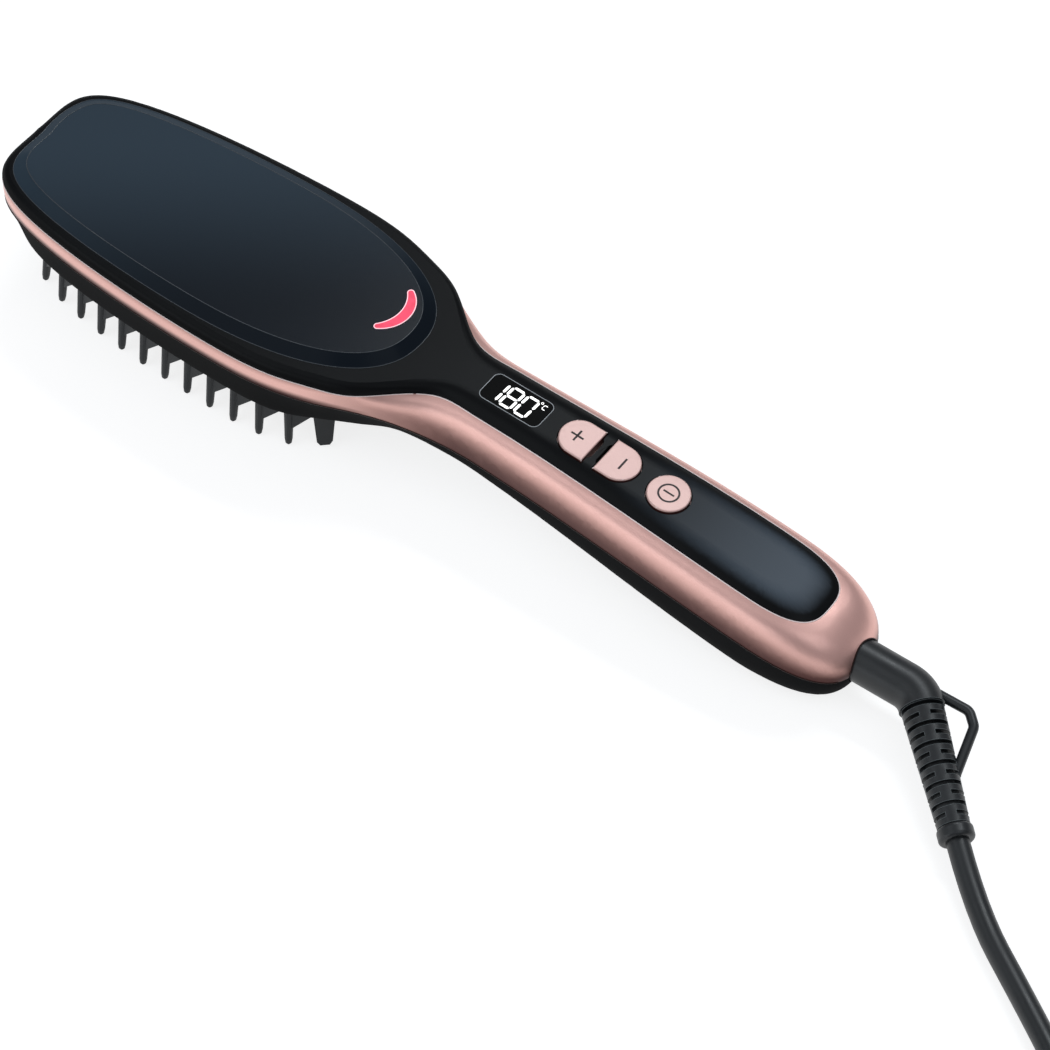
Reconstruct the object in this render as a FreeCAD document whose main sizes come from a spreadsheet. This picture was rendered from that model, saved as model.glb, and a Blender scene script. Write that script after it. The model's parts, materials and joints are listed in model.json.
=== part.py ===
import FreeCAD, Part
import Sketcher
import math
import os
from FreeCAD import Placement, Rotation, Vector

# Hair straightening brush, lying bristles down: +X runs from the head's tip to the cord, +Z is up,
# and the origin is the middle of the brush on the surface that it rests on. Millimetres.

SIZES = (
    # the brush seen from above
    ("head_length", 160.0),
    ("handle_length", 125.0),
    ("head_width", 64.2),
    ("neck_width", 29.4),
    ("grip_width", 34.6),
    ("widest_from_tip", 87.5),
    ("grip_from_end", 34.0),
    ("neck_skew", 1.48),
    ("tip_curve", 1.7),
    ("tip_fullness", 5.2),
    ("end_roundness", 3.0),
    # the brush seen from the side
    ("back_height", 40.0),
    ("droop_before_neck", 17.5),
    ("handle_droop", 12.0),
    ("thin_before_neck", 20.5),
    ("thin_thickness", 21.6),
    ("thickening", 0.85),
    ("belly_from_end", 30.5),
    ("heel_lift", 2.0),
    ("rim_height", 17.5),
    ("blend_before_neck", 27.5),
    ("blend_length", 24.0),
    ("tuck_before_neck", 55.5),
    ("tuck_length", 28.0),
    ("neck_tuck", 4.2),
    ("tip_tuck", 3.0),
    # seams and walls of the three shells
    ("band_top_depth", 3.8),
    ("band_bottom_depth", 10.5),
    ("insert_depth", 2.3),
    ("handle_seam_depth", 15.0),
    ("insert_neck_width", 19.6),
    ("insert_grip_width", 23.8),
    ("insert_end_gap", 12.0),
    ("shoulder_inset", 2.4),
    ("rim_inset", 2.6),
    ("shell_wall", 2.2),
    ("band_wall", 2.0),
    ("seam_inset", 0.2),
    # glossy panel and indicator light on the back of the head
    ("panel_width", 57.0),
    ("panel_tip_gap", 3.4),
    ("panel_neck_gap", 21.5),
    ("panel_widest", 74.5),
    ("panel_neck_roundness", 2.3),
    ("panel_recess", 1.6),
    ("panel_crown", 2.2),
    ("panel_bevel", 3.6),
    ("panel_gap", 0.15),
    ("pocket_inset", 4.0),
    ("pocket_floor", 1.4),
    ("lens_from_panel_end", 11.6),
    ("lens_offset", 4.2),
    ("lens_chord", 16.3),
    ("lens_bulge", 4.45),
    ("lens_hollow", 1.3),
    ("lens_end_width", 1.3),
    ("lens_proud", 0.1),
    ("lens_gap", 0.12),
    ("led_board_length", 10.0),
    ("led_board_width", 14.0),
    ("led_board_thickness", 1.2),
    ("led_board_shift", 3.0),
    ("led_size", 3.2),
    ("led_height", 1.7),
    ("led_gap", 0.2),
    ("led_hole_radius", 1.8),
    ("led_boss_radius", 1.6),
    ("led_boss_spacing", 9.0),
    ("led_boss_shift", 2.5),
    # display and buttons on the handle
    ("control_from_neck", 45.5),
    ("display_from_neck", 11.0),
    ("display_length", 19.6),
    ("display_width", 9.75),
    ("display_corner", 2.0),
    ("display_thickness", 1.1),
    ("display_ledge", 1.0),
    ("display_gap", 0.1),
    ("digits_height", 3.6),
    ("plus_from_neck", 31.5),
    ("minus_from_neck", 45.75),
    ("power_from_neck", 61.1),
    ("rocker_length", 10.6),
    ("rocker_width", 12.0),
    ("power_diameter", 12.1),
    ("button_proud", 0.6),
    ("button_round", 0.4),
    ("button_gap", 0.35),
    ("button_lip", 0.8),
    ("button_lip_thickness", 0.8),
    ("button_lip_gap", 0.35),
    ("button_travel", 0.45),
    ("switch_gap", 0.15),
    ("switch_size", 6.0),
    ("switch_height", 3.4),
    # control board
    ("board_length", 74.0),
    ("board_width", 16.0),
    ("board_thickness", 1.6),
    ("board_shift", -8.0),
    ("boss_radius", 2.0),
    ("boss_front", -22.2),
    ("boss_rear", 25.5),
    ("boss_side", 5.4),
    ("board_screw_radius", 1.1),
    ("board_screw_head", 2.0),
    ("board_screw_length", 6.0),
    ("capacitor_length", 17.5),
    ("capacitor_width", 8.0),
    ("capacitor_height", 11.0),
    # heated bed and bristles
    ("bed_neck_gap", 29.5),
    ("bed_neck_roundness", 2.6),
    ("comb_inset", 4.2),
    ("comb_gap", 0.15),
    ("comb_thickness", 2.0),
    ("ledge_inset", 7.2),
    ("ledge_thickness", 1.2),
    ("bed_inset", 13.0),
    ("bed_gap", 0.3),
    ("bed_recess", 0.4),
    ("guard_inset", 7.85),
    ("guard_splay", 10.0),
    ("guard_root_radius", 1.6),
    ("guard_tip_radius", 1.15),
    ("guard_first", 16.1),
    ("guard_pitch", 8.4),
    ("guard_last_gap", 21.0),
    ("gusset_reach", 7.2),
    ("gusset_drop", 12.4),
    ("gusset_end_drop", 4.9),
    ("gusset_thickness", 1.3),
    ("fin_width", 7.2),
    ("fin_length", 15.8),
    ("fin_thickness", 2.6),
    ("fin_from_bed_end", 13.9),
    ("fin_inset", 8.2),
    ("bristle_pitch", 8.6),
    ("bristle_row_gap", 8.4),
    ("bristle_root_radius", 1.6),
    ("bristle_tip_radius", 1.2),
    ("bristle_clear", 0.8),
    ("cool_tip_length", 3.4),
    ("cool_tip_radius", 1.6),
    # heater stack
    ("heater_gap", 2.5),
    ("heater_width", 16.0),
    ("heater_thickness", 3.0),
    ("clamp_end_gap", 7.75),
    ("clamp_width", 12.0),
    ("clamp_thickness", 1.0),
    ("clamp_foot", 6.0),
    ("clamp_screw_radius", 1.5),
    ("clamp_screw_bite", 0.8),
    ("clamp_hole_gap", 0.1),
    ("clamp_screw_head", 2.8),
    ("clamp_screw_head_height", 1.8),
    ("fuse_radius", 2.0),
    ("fuse_length", 12.0),
    ("thermistor_length", 5.0),
    ("thermistor_width", 3.0),
    ("thermistor_height", 2.0),
    ("thermistor_gap", 1.0),
    ("shield_inset", 5.5),
    ("shield_height", 9.0),
    ("shield_thickness", 1.0),
    ("shield_leg_radius", 0.9),
    ("shield_leg_spread", 34.0),
    ("shield_leg_shift", 0.6),
    # screws between the lower and the upper shell
    ("neck_screw_before_neck", 13.0),
    ("grip_screw_from_end", 38.0),
    ("screw_boss_radius", 4.2),
    ("screw_post_radius", 3.0),
    ("screw_seat", 2.0),
    ("screw_head_radius", 2.7),
    ("screw_head_height", 2.0),
    ("screw_head_gap", 0.4),
    ("screw_radius", 1.3),
    ("screw_clearance", 0.2),
    ("screw_end_gap", 0.5),
    ("screw_bite", 8.0),
    ("screw_joint_height", 8.0),
    # swivel at the end of the handle
    ("swivel_height", 13.6),
    ("shaft_radius", 4.5),
    ("shaft_length", 21.0),
    ("shaft_inside", 5.5),
    ("running_gap", 0.08),
    ("bush_radius", 6.8),
    ("bush_length", 8.0),
    ("bush_setback", 2.5),
    ("bulkhead_thickness", 5.0),
    ("bulkhead_gap", 0.2),
    ("stub_shoulder", 0.2),
    ("collar_radius", 6.2),
    ("collar_thickness", 2.3),
    ("collar_gap", 0.3),
    ("ring_radius", 5.6),
    ("ring_width", 2.2),
    ("ring_spacing", 4.0),
    ("ring_setback", 1.2),
    ("contact_block_length", 9.0),
    ("contact_block_width", 10.0),
    ("contact_block_height", 2.4),
    ("contact_gap", 0.4),
    ("contact_width", 1.6),
    ("contact_length", 8.0),
    ("contact_thickness", 0.5),
    ("contact_arch", 3.0),
    ("contact_rise", 0.9),
    ("contact_seat_margin", 1.0),
    # elbow, ribbed sleeve and hang loop
    ("elbow_radius", 6.2),
    ("elbow_gap", 0.35),
    ("elbow_reach", 16.7),
    ("elbow_bend_radius", 10.0),
    ("elbow_bend", 43.4),
    ("elbow_roll", 13.0),
    ("sleeve_setback", 0.2),
    ("sleeve_length", 43.4),
    ("sleeve_root_radius", 5.8),
    ("sleeve_end_radius", 4.4),
    ("sleeve_collar_radius", 4.9),
    ("sleeve_collar_length", 4.2),
    ("sleeve_collar_round", 1.2),
    ("slot_first", 4.9),
    ("slot_pitch", 2.85),
    ("slot_width", 1.3),
    ("slot_floor", 3.7),
    ("slot_land", 1.4),
    ("loop_rod_radius", 1.4),
    ("loop_root_setback", 3.3),
    ("loop_far_root", 25.0),
    ("loop_far_depth", 4.0),
    ("loop_top_start", 8.5),
    ("loop_top_end", 13.1),
    ("loop_start_reach", 11.7),
    ("loop_reach", 11.8),
    ("loop_round", 3.0),
    # cord, its coil and the plug
    ("cord_diameter", 6.4),
    ("coil_inner_radius", 25.0),
    ("coil_pitch", 7.1),
    ("coil_layer", 6.9),
    ("coil_lift", 0.9),
    ("tie_width", 12.0),
    ("tie_thickness", 0.8),
    ("tie_gap", 0.3),
    ("plug_width", 35.0),
    ("plug_thickness", 13.7),
    ("plug_length", 36.0),
    ("plug_neck_radius", 4.6),
    ("plug_neck_length", 14.0),
    ("plug_neck_end_radius", 6.2),
    ("plug_neck_sunk", 2.0),
    ("plug_shoulder_width", 19.2),
    ("plug_shoulder_length", 8.0),
    ("plug_round", 4.1),
    ("pin_diameter", 4.0),
    ("pin_length", 19.0),
    ("pin_spacing", 18.6),
)

STATIONS = 44
OVAL_STATIONS = 22
# how far a cutting shape reaches past what it cuts, and how far a fused piece sinks in
CLEAR_CUT = 4.0
EMBED = 0.5
BOSS_EMBED = 1.0
UPRIGHT = 0.99
TOUCH = 0.001
# round ends of the bristles and the fin, as shares of their own radius, length or half width
GUARD_TIP = ((2.0, 1.0), (0.7, 0.8))
GUARD_POINT = 0.35
COOL_TIP = ((0.0, 0.85), (0.35, 1.0), (0.75, 0.85), (1.0, 0.4))
FIN_CORNERS = (0.45, 0.2, -0.55, -0.8)
PIN_SIDES = 12
SLOT_PAIRS = 6
COIL_TURNS = 7.36
COIL_CENTRE = Vector(298.0, -45.0, 0.0)
COIL_ENTRY_ANGLE = 230.0
COIL_SIDES = 6
CORD_MIDDLE = Vector(226.6, -55.7, 3.4)
CORD_END_RUN = 20.0
TAIL_START_RUN = 15.0
TAIL_BEND = Vector(350.4, -9.0, 6.85)
PLUG_INLET = Vector(350.4, 5.0, 6.85)

doc = FreeCAD.newDocument("straightening_brush")
sheet = doc.addObject("Spreadsheet::Sheet", "sizes")
for row, (alias, value) in enumerate(SIZES, start=1):
    sheet.set(f"A{row}", alias)
    sheet.set(f"B{row}", str(value))
    sheet.setAlias(f"B{row}", alias)
doc.recompute()


class Sizes:
    """The sheet's cells, read by their aliases."""

    def __getattr__(self, alias):
        return float(sheet.get(alias))


size = Sizes()
parts = {}

# Places along the brush, worked out from the sheet.
end = (size.head_length + size.handle_length) / 2
tip = -end
widest = tip + size.widest_from_tip
neck = tip + size.head_length
grip = end - size.grip_from_end
belly = end - size.belly_from_end
droop = neck - size.droop_before_neck
thin = neck - size.thin_before_neck
blend = neck - size.blend_before_neck
tuck_start = neck - size.tuck_before_neck
rim = size.rim_height
comb_top = rim + size.comb_thickness
ledge_top = comb_top + size.ledge_thickness
cord_radius = size.cord_diameter / 2


def ease(share):
    """A smooth step from 0 to 1."""
    share = min(max(share, 0.0), 1.0)
    return share * share * (3 - 2 * share)


def mix(first, second, share):
    """The value a share of the way from first to second."""
    return first + (second - first) * share


def open_half_width(x):
    """Half the width of the brush before its two ends are rounded."""
    if x <= neck:
        share = max(0.0, (x - widest) / (neck - widest)) ** size.neck_skew
        return mix(size.head_width / 2, size.neck_width / 2, ease(share))
    return mix(size.neck_width / 2, size.grip_width / 2, ease((x - neck) / (grip - neck)))


def end_shares(x):
    """How far x lies into the rounded tip and into the rounded handle end, each from 0 to 1."""
    into_tip = min(1.0, max(0.0, (widest - x) / (widest - tip)))
    into_end = min(1.0, max(0.0, (x - grip) / (end - grip)))
    return into_tip, into_end


def closing(x):
    """The share of the open width that the rounded ends leave at x."""
    into_tip, into_end = end_shares(x)
    end_power = size.end_roundness
    at_tip = (1 - into_tip ** size.tip_curve) ** (1 / size.tip_fullness)
    return at_tip * (1 - into_end ** end_power) ** (1 / end_power)


def top(x):
    """Height of the back's middle line: level on the head, an arc along the handle."""
    return size.back_height - size.handle_droop * max(0.0, (x - droop) / (end - droop)) ** 2


def bottom(x):
    """Height of the underside's middle line on the neck and handle."""
    if x > belly:
        return size.heel_lift * ((x - belly) / (end - belly)) ** 2
    share = max(0.0, (x - thin) / (belly - thin)) ** size.thickening
    return top(x) - mix(size.thin_thickness, top(belly), ease(share))


def handle_share(x):
    """0 on the head, 1 on the handle, eased through the neck."""
    return ease((x - blend) / size.blend_length)


def tuck(x):
    """How far the wall round the bristles draws in under the band as it comes to the neck."""
    return size.neck_tuck * ease((x - tuck_start) / size.tuck_length)


def insert_half_width(x):
    """Half the width of the insert on top of the handle."""
    return mix(size.insert_neck_width / 2, size.insert_grip_width / 2, ease((x - neck) / (grip - neck)))


class Level:
    """A closed line round the skin: how far it lies inside the outline, and its height."""

    def __init__(self, head_inset, handle_inset, head_height, handle_height, end_inset, tuck_share=0.0):
        self.tuck_share = tuck_share
        self.head_inset = head_inset
        self.handle_inset = handle_inset
        self.head_height = head_height
        self.handle_height = handle_height
        self.end_inset = end_inset

    def point(self, x):
        into_tip, into_end = end_shares(x)
        inset = mix(self.head_inset + self.tuck_share * tuck(x), self.handle_inset(x), handle_share(x))
        tip_inset = self.head_inset + self.tuck_share * size.tip_tuck
        along = x + tip_inset * into_tip ** size.tip_fullness - self.end_inset * into_end
        height = mix(self.head_height, self.handle_height(along), handle_share(along))
        return Vector(along, (open_half_width(x) - inset) * closing(x), height)


stations = [mix(tip, end, (1 - math.cos(math.pi * i / STATIONS)) / 2) for i in range(STATIONS + 1)]
chords = [0.0]
for near, far in zip(stations, stations[1:]):
    rise = open_half_width(far) * closing(far) - open_half_width(near) * closing(near)
    chords.append(chords[-1] + math.hypot(far - near, rise))
half_knots = [chord / chords[-1] / 2 for chord in chords]
loop_knots = half_knots + [1 - knot for knot in half_knots[-2::-1]]


MIDDLE_PLANE = (Vector(0, 0, 0), Vector(0, 1, 0))


def side_edge(level):
    """The right half of a level's line, from the tip to the handle's end."""
    right = [level.point(x) for x in stations]
    left = [Vector(p.x, -p.y, p.z) for p in right[-2:0:-1]]
    line = Part.BSplineCurve()
    line.interpolate(Points=right + left, Parameters=loop_knots, PeriodicFlag=True)
    return line.toShape(0, 0.5)


def skin_solid(levels, ruled=False):
    """A solid lofted through levels, closed by lids ruled straight across its first and last line."""
    right = [side_edge(level) for level in levels]
    left = [edge.mirror(*MIDDLE_PLANE) for edge in right]
    faces = Part.makeLoft([Part.Wire([edge]) for edge in right], False, ruled).Faces
    faces += [face.mirror(*MIDDLE_PLANE) for face in faces]
    faces += [Part.makeRuledSurface(right[i], left[i]) for i in (0, -1)]
    sewn = Part.Compound(faces)
    sewn.sewShape()
    solid = Part.Solid(sewn.Shells[0])
    if solid.Volume < 0:
        solid.reverse()
    return solid


def share_of_width(share, extra=0.0):
    """An inset that is a share of the half width."""
    return lambda x: share * open_half_width(x) + extra


def constant(value):
    """An inset that stays the same along the handle."""
    return lambda x: value


def insert_inset(extra):
    """An inset that follows the insert's edge."""
    return lambda x: open_half_width(x) - insert_half_width(x) + extra


def below_top(depth):
    """A height that stays one depth below the back."""
    return lambda x: top(x) - depth


def above_bottom(share, rise=0.0):
    """A line's height on the handle: a share of the way up from the underside to the lower seam."""
    return lambda x: mix(bottom(x) + rise, top(x) - size.handle_seam_depth, share)


# The skin's lines, from the lower rim to the crown of the handle.
seam_height = size.back_height - size.band_bottom_depth
band_height = size.back_height - size.band_top_depth
draft = size.rim_inset
seam_side = size.seam_inset
HEEL_INSETS = (6.5, 2.2, 0.3)
SECTION_SHARES = (0.55, 0.12, 0.03)
RISE_SHARES = (0.0, 0.32, 0.7)
DRAFT_SHARES = (1.0, 0.73, 0.42)
WALL_SHARES = (0.0, 0.3, 0.67)
BAND_SHARES = (0.03, 0.115)
BAND_DEPTHS = (0.58, 0.32)
BAND_RISES = (0.35, 0.67)
BAND_END_INSETS = (1.2, 5.0)
SHOULDER_SHARE = 0.2
SHOULDER_DEPTHS = (0.38, 0.26)
CROWN_SHARES = (0.5, 0.7)
CROWN_END_EXTRAS = (5.0, 12.0)
CAVITY_OVERLAP = 3.0
CAVITY_EDGE = 0.8
CAVITY_WALL_SHARE = 0.9
CAVITY_RISES = (0.42, 0.71)
CAVITY_DEPTHS = (0.7, 0.5)

def wall_line(i):
    """A line of the lower skin, counted from the rim up."""
    return Level(DRAFT_SHARES[i] * draft, share_of_width(SECTION_SHARES[i]),
                 mix(rim, seam_height, WALL_SHARES[i]), above_bottom(RISE_SHARES[i]),
                 HEEL_INSETS[i], DRAFT_SHARES[i])


def band_line(i):
    """A line of the band between its two seams, counted from below."""
    return Level(0.0, share_of_width(BAND_SHARES[i]), mix(seam_height, band_height, BAND_RISES[i]),
                 below_top(BAND_DEPTHS[i] * size.handle_seam_depth), BAND_END_INSETS[i])


lower_seam = Level(seam_side, constant(0), seam_height, below_top(size.handle_seam_depth), 0.0)
upper_seam = Level(seam_side, insert_inset(0), band_height, below_top(size.insert_depth),
                   size.insert_end_gap)
shoulder_line = Level(SHOULDER_SHARE * size.shoulder_inset, share_of_width(CROWN_SHARES[0]),
                      size.back_height - SHOULDER_DEPTHS[0] * size.band_top_depth,
                      below_top(SHOULDER_DEPTHS[1] * size.insert_depth),
                      size.insert_end_gap + CROWN_END_EXTRAS[0])
crown_line = Level(size.shoulder_inset, share_of_width(CROWN_SHARES[1]), size.back_height,
                   below_top(0), size.insert_end_gap + CROWN_END_EXTRAS[1])
lower_skin = [wall_line(0), wall_line(1), wall_line(2), lower_seam]
band_skin = [lower_seam, band_line(0), band_line(1), upper_seam]

INNER_SHARES = (0.45, 0.9, 1.0)
INNER_RISES = (1.0, 0.8, 0.3)
INNER_WALL_SHARES = (0.0, 0.3, 0.6)


def lower_levels(wall, floor):
    """The lower shell's lines moved in by a wall, with its floor and reaching past the seam."""
    lines = []
    for i, inner in enumerate(INNER_SHARES):
        lines.append(Level(DRAFT_SHARES[i] * draft + wall, share_of_width(SECTION_SHARES[i], inner * wall),
                           mix(rim + floor, seam_height, INNER_WALL_SHARES[i]),
                           above_bottom(RISE_SHARES[i], INNER_RISES[i] * wall),
                           HEEL_INSETS[i] + wall, DRAFT_SHARES[i]))
    lines.append(Level(seam_side + wall, constant(wall), seam_height + CAVITY_OVERLAP,
                       below_top(size.handle_seam_depth - CAVITY_OVERLAP), wall))
    return lines


def band_cavity_line(i, wall):
    """A line of the space inside the band, between its two edges."""
    return Level(wall, share_of_width(BAND_SHARES[i], CAVITY_WALL_SHARE * wall),
                 mix(seam_height, band_height, CAVITY_RISES[i]),
                 below_top(CAVITY_DEPTHS[i] * size.handle_seam_depth), BAND_END_INSETS[i] + wall)


def band_cavity_levels(wall):
    """The space inside the trim band, reaching past both of its seams."""
    below, above = size.handle_seam_depth, size.insert_depth
    inside = seam_side + wall
    return [
        Level(inside, constant(wall), seam_height - CAVITY_OVERLAP, below_top(below + CAVITY_OVERLAP), wall),
        Level(inside, constant(wall), seam_height + CAVITY_EDGE, below_top(below - CAVITY_EDGE), inside),
        band_cavity_line(0, wall),
        band_cavity_line(1, wall),
        Level(inside, insert_inset(wall), band_height - CAVITY_EDGE, below_top(above + CAVITY_EDGE),
              size.insert_end_gap + wall),
        Level(inside, insert_inset(wall), band_height + CAVITY_OVERLAP, below_top(above - CAVITY_OVERLAP),
              size.insert_end_gap + wall),
    ]


class Oval:
    """A rounded outline with its widest place off the middle, as the head's panel and bed have."""

    def __init__(self, start, finish, widest_x, half_width, finish_power):
        self.start = start
        self.finish = finish
        self.widest = widest_x
        self.half_width = half_width
        self.finish_power = finish_power

    def inset(self, distance):
        return Oval(self.start + distance, self.finish - distance, self.widest,
                    self.half_width - distance, self.finish_power)

    def half(self, x):
        """Half the width at x."""
        reach, curve, fullness = self.widest - self.start, size.tip_curve, size.tip_fullness
        if x > self.widest:
            reach, curve, fullness = self.finish - self.widest, self.finish_power, self.finish_power
        share = min(1.0, abs(x - self.widest) / reach)
        return self.half_width * (1 - share ** curve) ** (1 / fullness)

    def outward(self, x, side):
        """The direction square to the outline at x, pointing out."""
        step = 0.01
        slope = (self.half(x + step) - self.half(x - step)) / (2 * step)
        return Vector(-slope, side, 0).normalize()

    def wire(self, height):
        xs = [mix(self.start, self.finish, (1 - math.cos(math.pi * i / OVAL_STATIONS)) / 2)
              for i in range(OVAL_STATIONS + 1)]
        right = [Vector(x, self.half(x), height) for x in xs]
        left = [Vector(p.x, -p.y, height) for p in right[-2:0:-1]]
        line = Part.BSplineCurve()
        line.interpolate(Points=right + left, PeriodicFlag=True)
        return Part.Wire([line.toShape()])

    def prism(self, low, high):
        return Part.Face(self.wire(low)).extrude(Vector(0, 0, high - low))


panel_start = tip + size.panel_tip_gap
panel_oval = Oval(panel_start, neck - size.panel_neck_gap, panel_start + size.panel_widest,
                  size.panel_width / 2, size.panel_neck_roundness)
bed_oval = Oval(tip + size.tip_tuck, neck - size.bed_neck_gap, widest, size.head_width / 2,
                size.bed_neck_roundness)


def bind(feature, **cells):
    """Tie a feature's properties to expressions on the sheet."""
    for name, expression in cells.items():
        feature.setExpression(name, expression)


def keep(label, thing):
    """Keep a document object as the sub-part with this label."""
    thing.Label = label
    parts[label] = thing
    return thing


def shape_part(label, shape, placement=None):
    """A sub-part whose form no primitive or sketch gives."""
    feature = doc.addObject("Part::Feature", label)
    feature.Shape = shape
    if placement is not None:
        feature.Placement = placement
    return keep(label, feature)


def box(name, length, width, height):
    """A box whose sides follow expressions on the sheet."""
    feature = doc.addObject("Part::Box", name)
    bind(feature, Length=length, Width=width, Height=height)
    return feature


def cylinder(name, radius, height):
    """A cylinder whose sizes follow expressions on the sheet."""
    feature = doc.addObject("Part::Cylinder", name)
    bind(feature, Radius=radius, Height=height)
    return feature


def cut(name, base, tool):
    """One feature cut from another."""
    feature = doc.addObject("Part::Cut", name)
    feature.Base = base
    feature.Tool = tool
    return feature


def fuse(name, *features):
    """Features joined into one."""
    feature = doc.addObject("Part::MultiFuse", name)
    feature.Shapes = list(features)
    return feature


def group(name, *features):
    """Separate features kept as one sub-part."""
    feature = doc.addObject("Part::Compound", name)
    feature.Links = list(features)
    return feature


def new_body(label):
    """An empty body that is kept as a sub-part."""
    return keep(label, doc.addObject("PartDesign::Body", label))


def plane_sketch(body, name, role="XY_Plane"):
    """A sketch on one of a body's own planes."""
    sketch = body.newObject("Sketcher::SketchObject", name)
    plane = next(feature for feature in body.Origin.OriginFeatures if feature.Role == role)
    sketch.AttachmentSupport = [(plane, "")]
    sketch.MapMode = "FlatFace"
    return sketch


def draw_circle(sketch, radius, centre=(0.0, 0.0)):
    """A circle whose radius follows an expression on the sheet."""
    at = Vector(centre[0], centre[1], 0)
    index = sketch.addGeometry(Part.Circle(at, Vector(0, 0, 1), 1.0))
    bound = sketch.addConstraint(Sketcher.Constraint("Radius", index, 1.0))
    sketch.setExpression(f"Constraints[{bound}]", radius)
    sketch.addConstraint(Sketcher.Constraint("DistanceX", -1, 1, index, 3, at.x))
    sketch.addConstraint(Sketcher.Constraint("DistanceY", -1, 1, index, 3, at.y))


def draw_profile(sketch, points):
    """A closed outline of straight lines with its corners fixed in place."""
    for i, start in enumerate(points):
        finish = points[(i + 1) % len(points)]
        sketch.addGeometry(Part.LineSegment(Vector(*start, 0), Vector(*finish, 0)))
    for i, start in enumerate(points):
        following = (i + 1) % len(points)
        sketch.addConstraint(Sketcher.Constraint("Coincident", i, 2, following, 1))
        sketch.addConstraint(Sketcher.Constraint("DistanceX", -1, 1, i, 1, start[0]))
        sketch.addConstraint(Sketcher.Constraint("DistanceY", -1, 1, i, 1, start[1]))


def draw_rectangle(sketch, length, width):
    """A rectangle about the origin whose sides follow expressions on the sheet."""
    corners = [Vector(-1, -1, 0), Vector(1, -1, 0), Vector(1, 1, 0), Vector(-1, 1, 0)]
    for i, corner in enumerate(corners):
        sketch.addGeometry(Part.LineSegment(corner, corners[(i + 1) % 4]))
    for i in range(4):
        sketch.addConstraint(Sketcher.Constraint("Coincident", i, 2, (i + 1) % 4, 1))
        sketch.addConstraint(Sketcher.Constraint("Horizontal" if i % 2 == 0 else "Vertical", i))
    sketch.addConstraint(Sketcher.Constraint("Symmetric", 0, 1, 2, 1, -1, 1))
    across = sketch.addConstraint(Sketcher.Constraint("DistanceX", 0, 1, 0, 2, 2.0))
    along = sketch.addConstraint(Sketcher.Constraint("DistanceY", 1, 1, 1, 2, 2.0))
    sketch.setExpression(f"Constraints[{across}]", length)
    sketch.setExpression(f"Constraints[{along}]", width)


def draw_rocker(sketch, length, width, turned):
    """A half oval: a straight edge, two sides and a half round. Turned, the round is at +X."""
    flat, hub, half = (-5.0, -1.0, 6.0) if turned else (5.0, 1.0, 6.0)
    quarter = math.pi / 2
    first, last = (-quarter, quarter) if turned else (quarter, 3 * quarter)
    round_end = Part.Circle(Vector(hub, 0, 0), Vector(0, 0, 1), half)
    sketch.addGeometry(Part.LineSegment(Vector(flat, -half, 0), Vector(flat, half, 0)))
    sketch.addGeometry(Part.LineSegment(Vector(flat, half, 0), Vector(hub, half, 0)))
    sketch.addGeometry(Part.ArcOfCircle(round_end, first, last))
    sketch.addGeometry(Part.LineSegment(Vector(hub, -half, 0), Vector(flat, -half, 0)))
    upper, lower = (2, 1) if turned else (1, 2)
    sketch.addConstraint(Sketcher.Constraint("Coincident", 0, 2, 1, 1))
    sketch.addConstraint(Sketcher.Constraint("Coincident", 3, 2, 0, 1))
    sketch.addConstraint(Sketcher.Constraint("Tangent", 1, 2, 2, upper))
    sketch.addConstraint(Sketcher.Constraint("Tangent", 2, lower, 3, 1))
    sketch.addConstraint(Sketcher.Constraint("Horizontal", 1))
    sketch.addConstraint(Sketcher.Constraint("Horizontal", 3))
    sketch.addConstraint(Sketcher.Constraint("Symmetric", 0, 1, 0, 2, -1))
    tall = sketch.addConstraint(Sketcher.Constraint("DistanceY", 0, 1, 0, 2, 2 * half))
    sketch.setExpression(f"Constraints[{tall}]", width)
    to_flat = (0, 1, -1, 1) if turned else (-1, 1, 0, 1)
    to_hub = (0, 1, 2, 3) if turned else (2, 3, 0, 1)
    reach = sketch.addConstraint(Sketcher.Constraint("DistanceX", *to_flat, abs(flat)))
    sketch.setExpression(f"Constraints[{reach}]", f"({length}) / 2")
    sides = sketch.addConstraint(Sketcher.Constraint("DistanceX", *to_hub, abs(flat - hub)))
    sketch.setExpression(f"Constraints[{sides}]", f"({length}) - ({width}) / 2")


def pad(body, sketch, length, start=None):
    """A pad up from its sketch, which may start at another height."""
    if start is not None:
        sketch.setExpression("AttachmentOffset.Base.z", start)
    feature = body.newObject("PartDesign::Pad", sketch.Name + "_pad")
    feature.Profile = sketch
    bind(feature, Length=length)
    return feature


def pocket(body, sketch, length, up=False):
    """A pocket down from its sketch, or up from it."""
    feature = body.newObject("PartDesign::Pocket", sketch.Name + "_pocket")
    feature.Profile = sketch
    feature.Reversed = up
    bind(feature, Length=length)
    return feature


def revolve(body, sketch, axis):
    """A sketch turned all the way round one of its axes."""
    feature = body.newObject("PartDesign::Revolution", sketch.Name + "_turned")
    feature.Profile = sketch
    feature.ReferenceAxis = (sketch, [axis])
    feature.Angle = 360.0
    return feature


def round_edges(body, base, size_expression, picks):
    """A fillet on the edges of a feature that picks accepts."""
    doc.recompute()
    names = [f"Edge{i}" for i, edge in enumerate(base.Shape.Edges, start=1) if picks(edge)]
    feature = body.newObject("PartDesign::Fillet", base.Name + "_round")
    feature.Base = (base, names)
    bind(feature, Radius=size_expression)
    return feature


def tilted(x):
    """A frame on the handle's top at x, its Z square to the surface there."""
    slope = 2 * size.handle_droop * max(0.0, x - droop) / (end - droop) ** 2
    return Placement(Vector(x, 0, top(x)), Rotation(Vector(0, 1, 0), math.degrees(math.atan(slope))))


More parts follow.
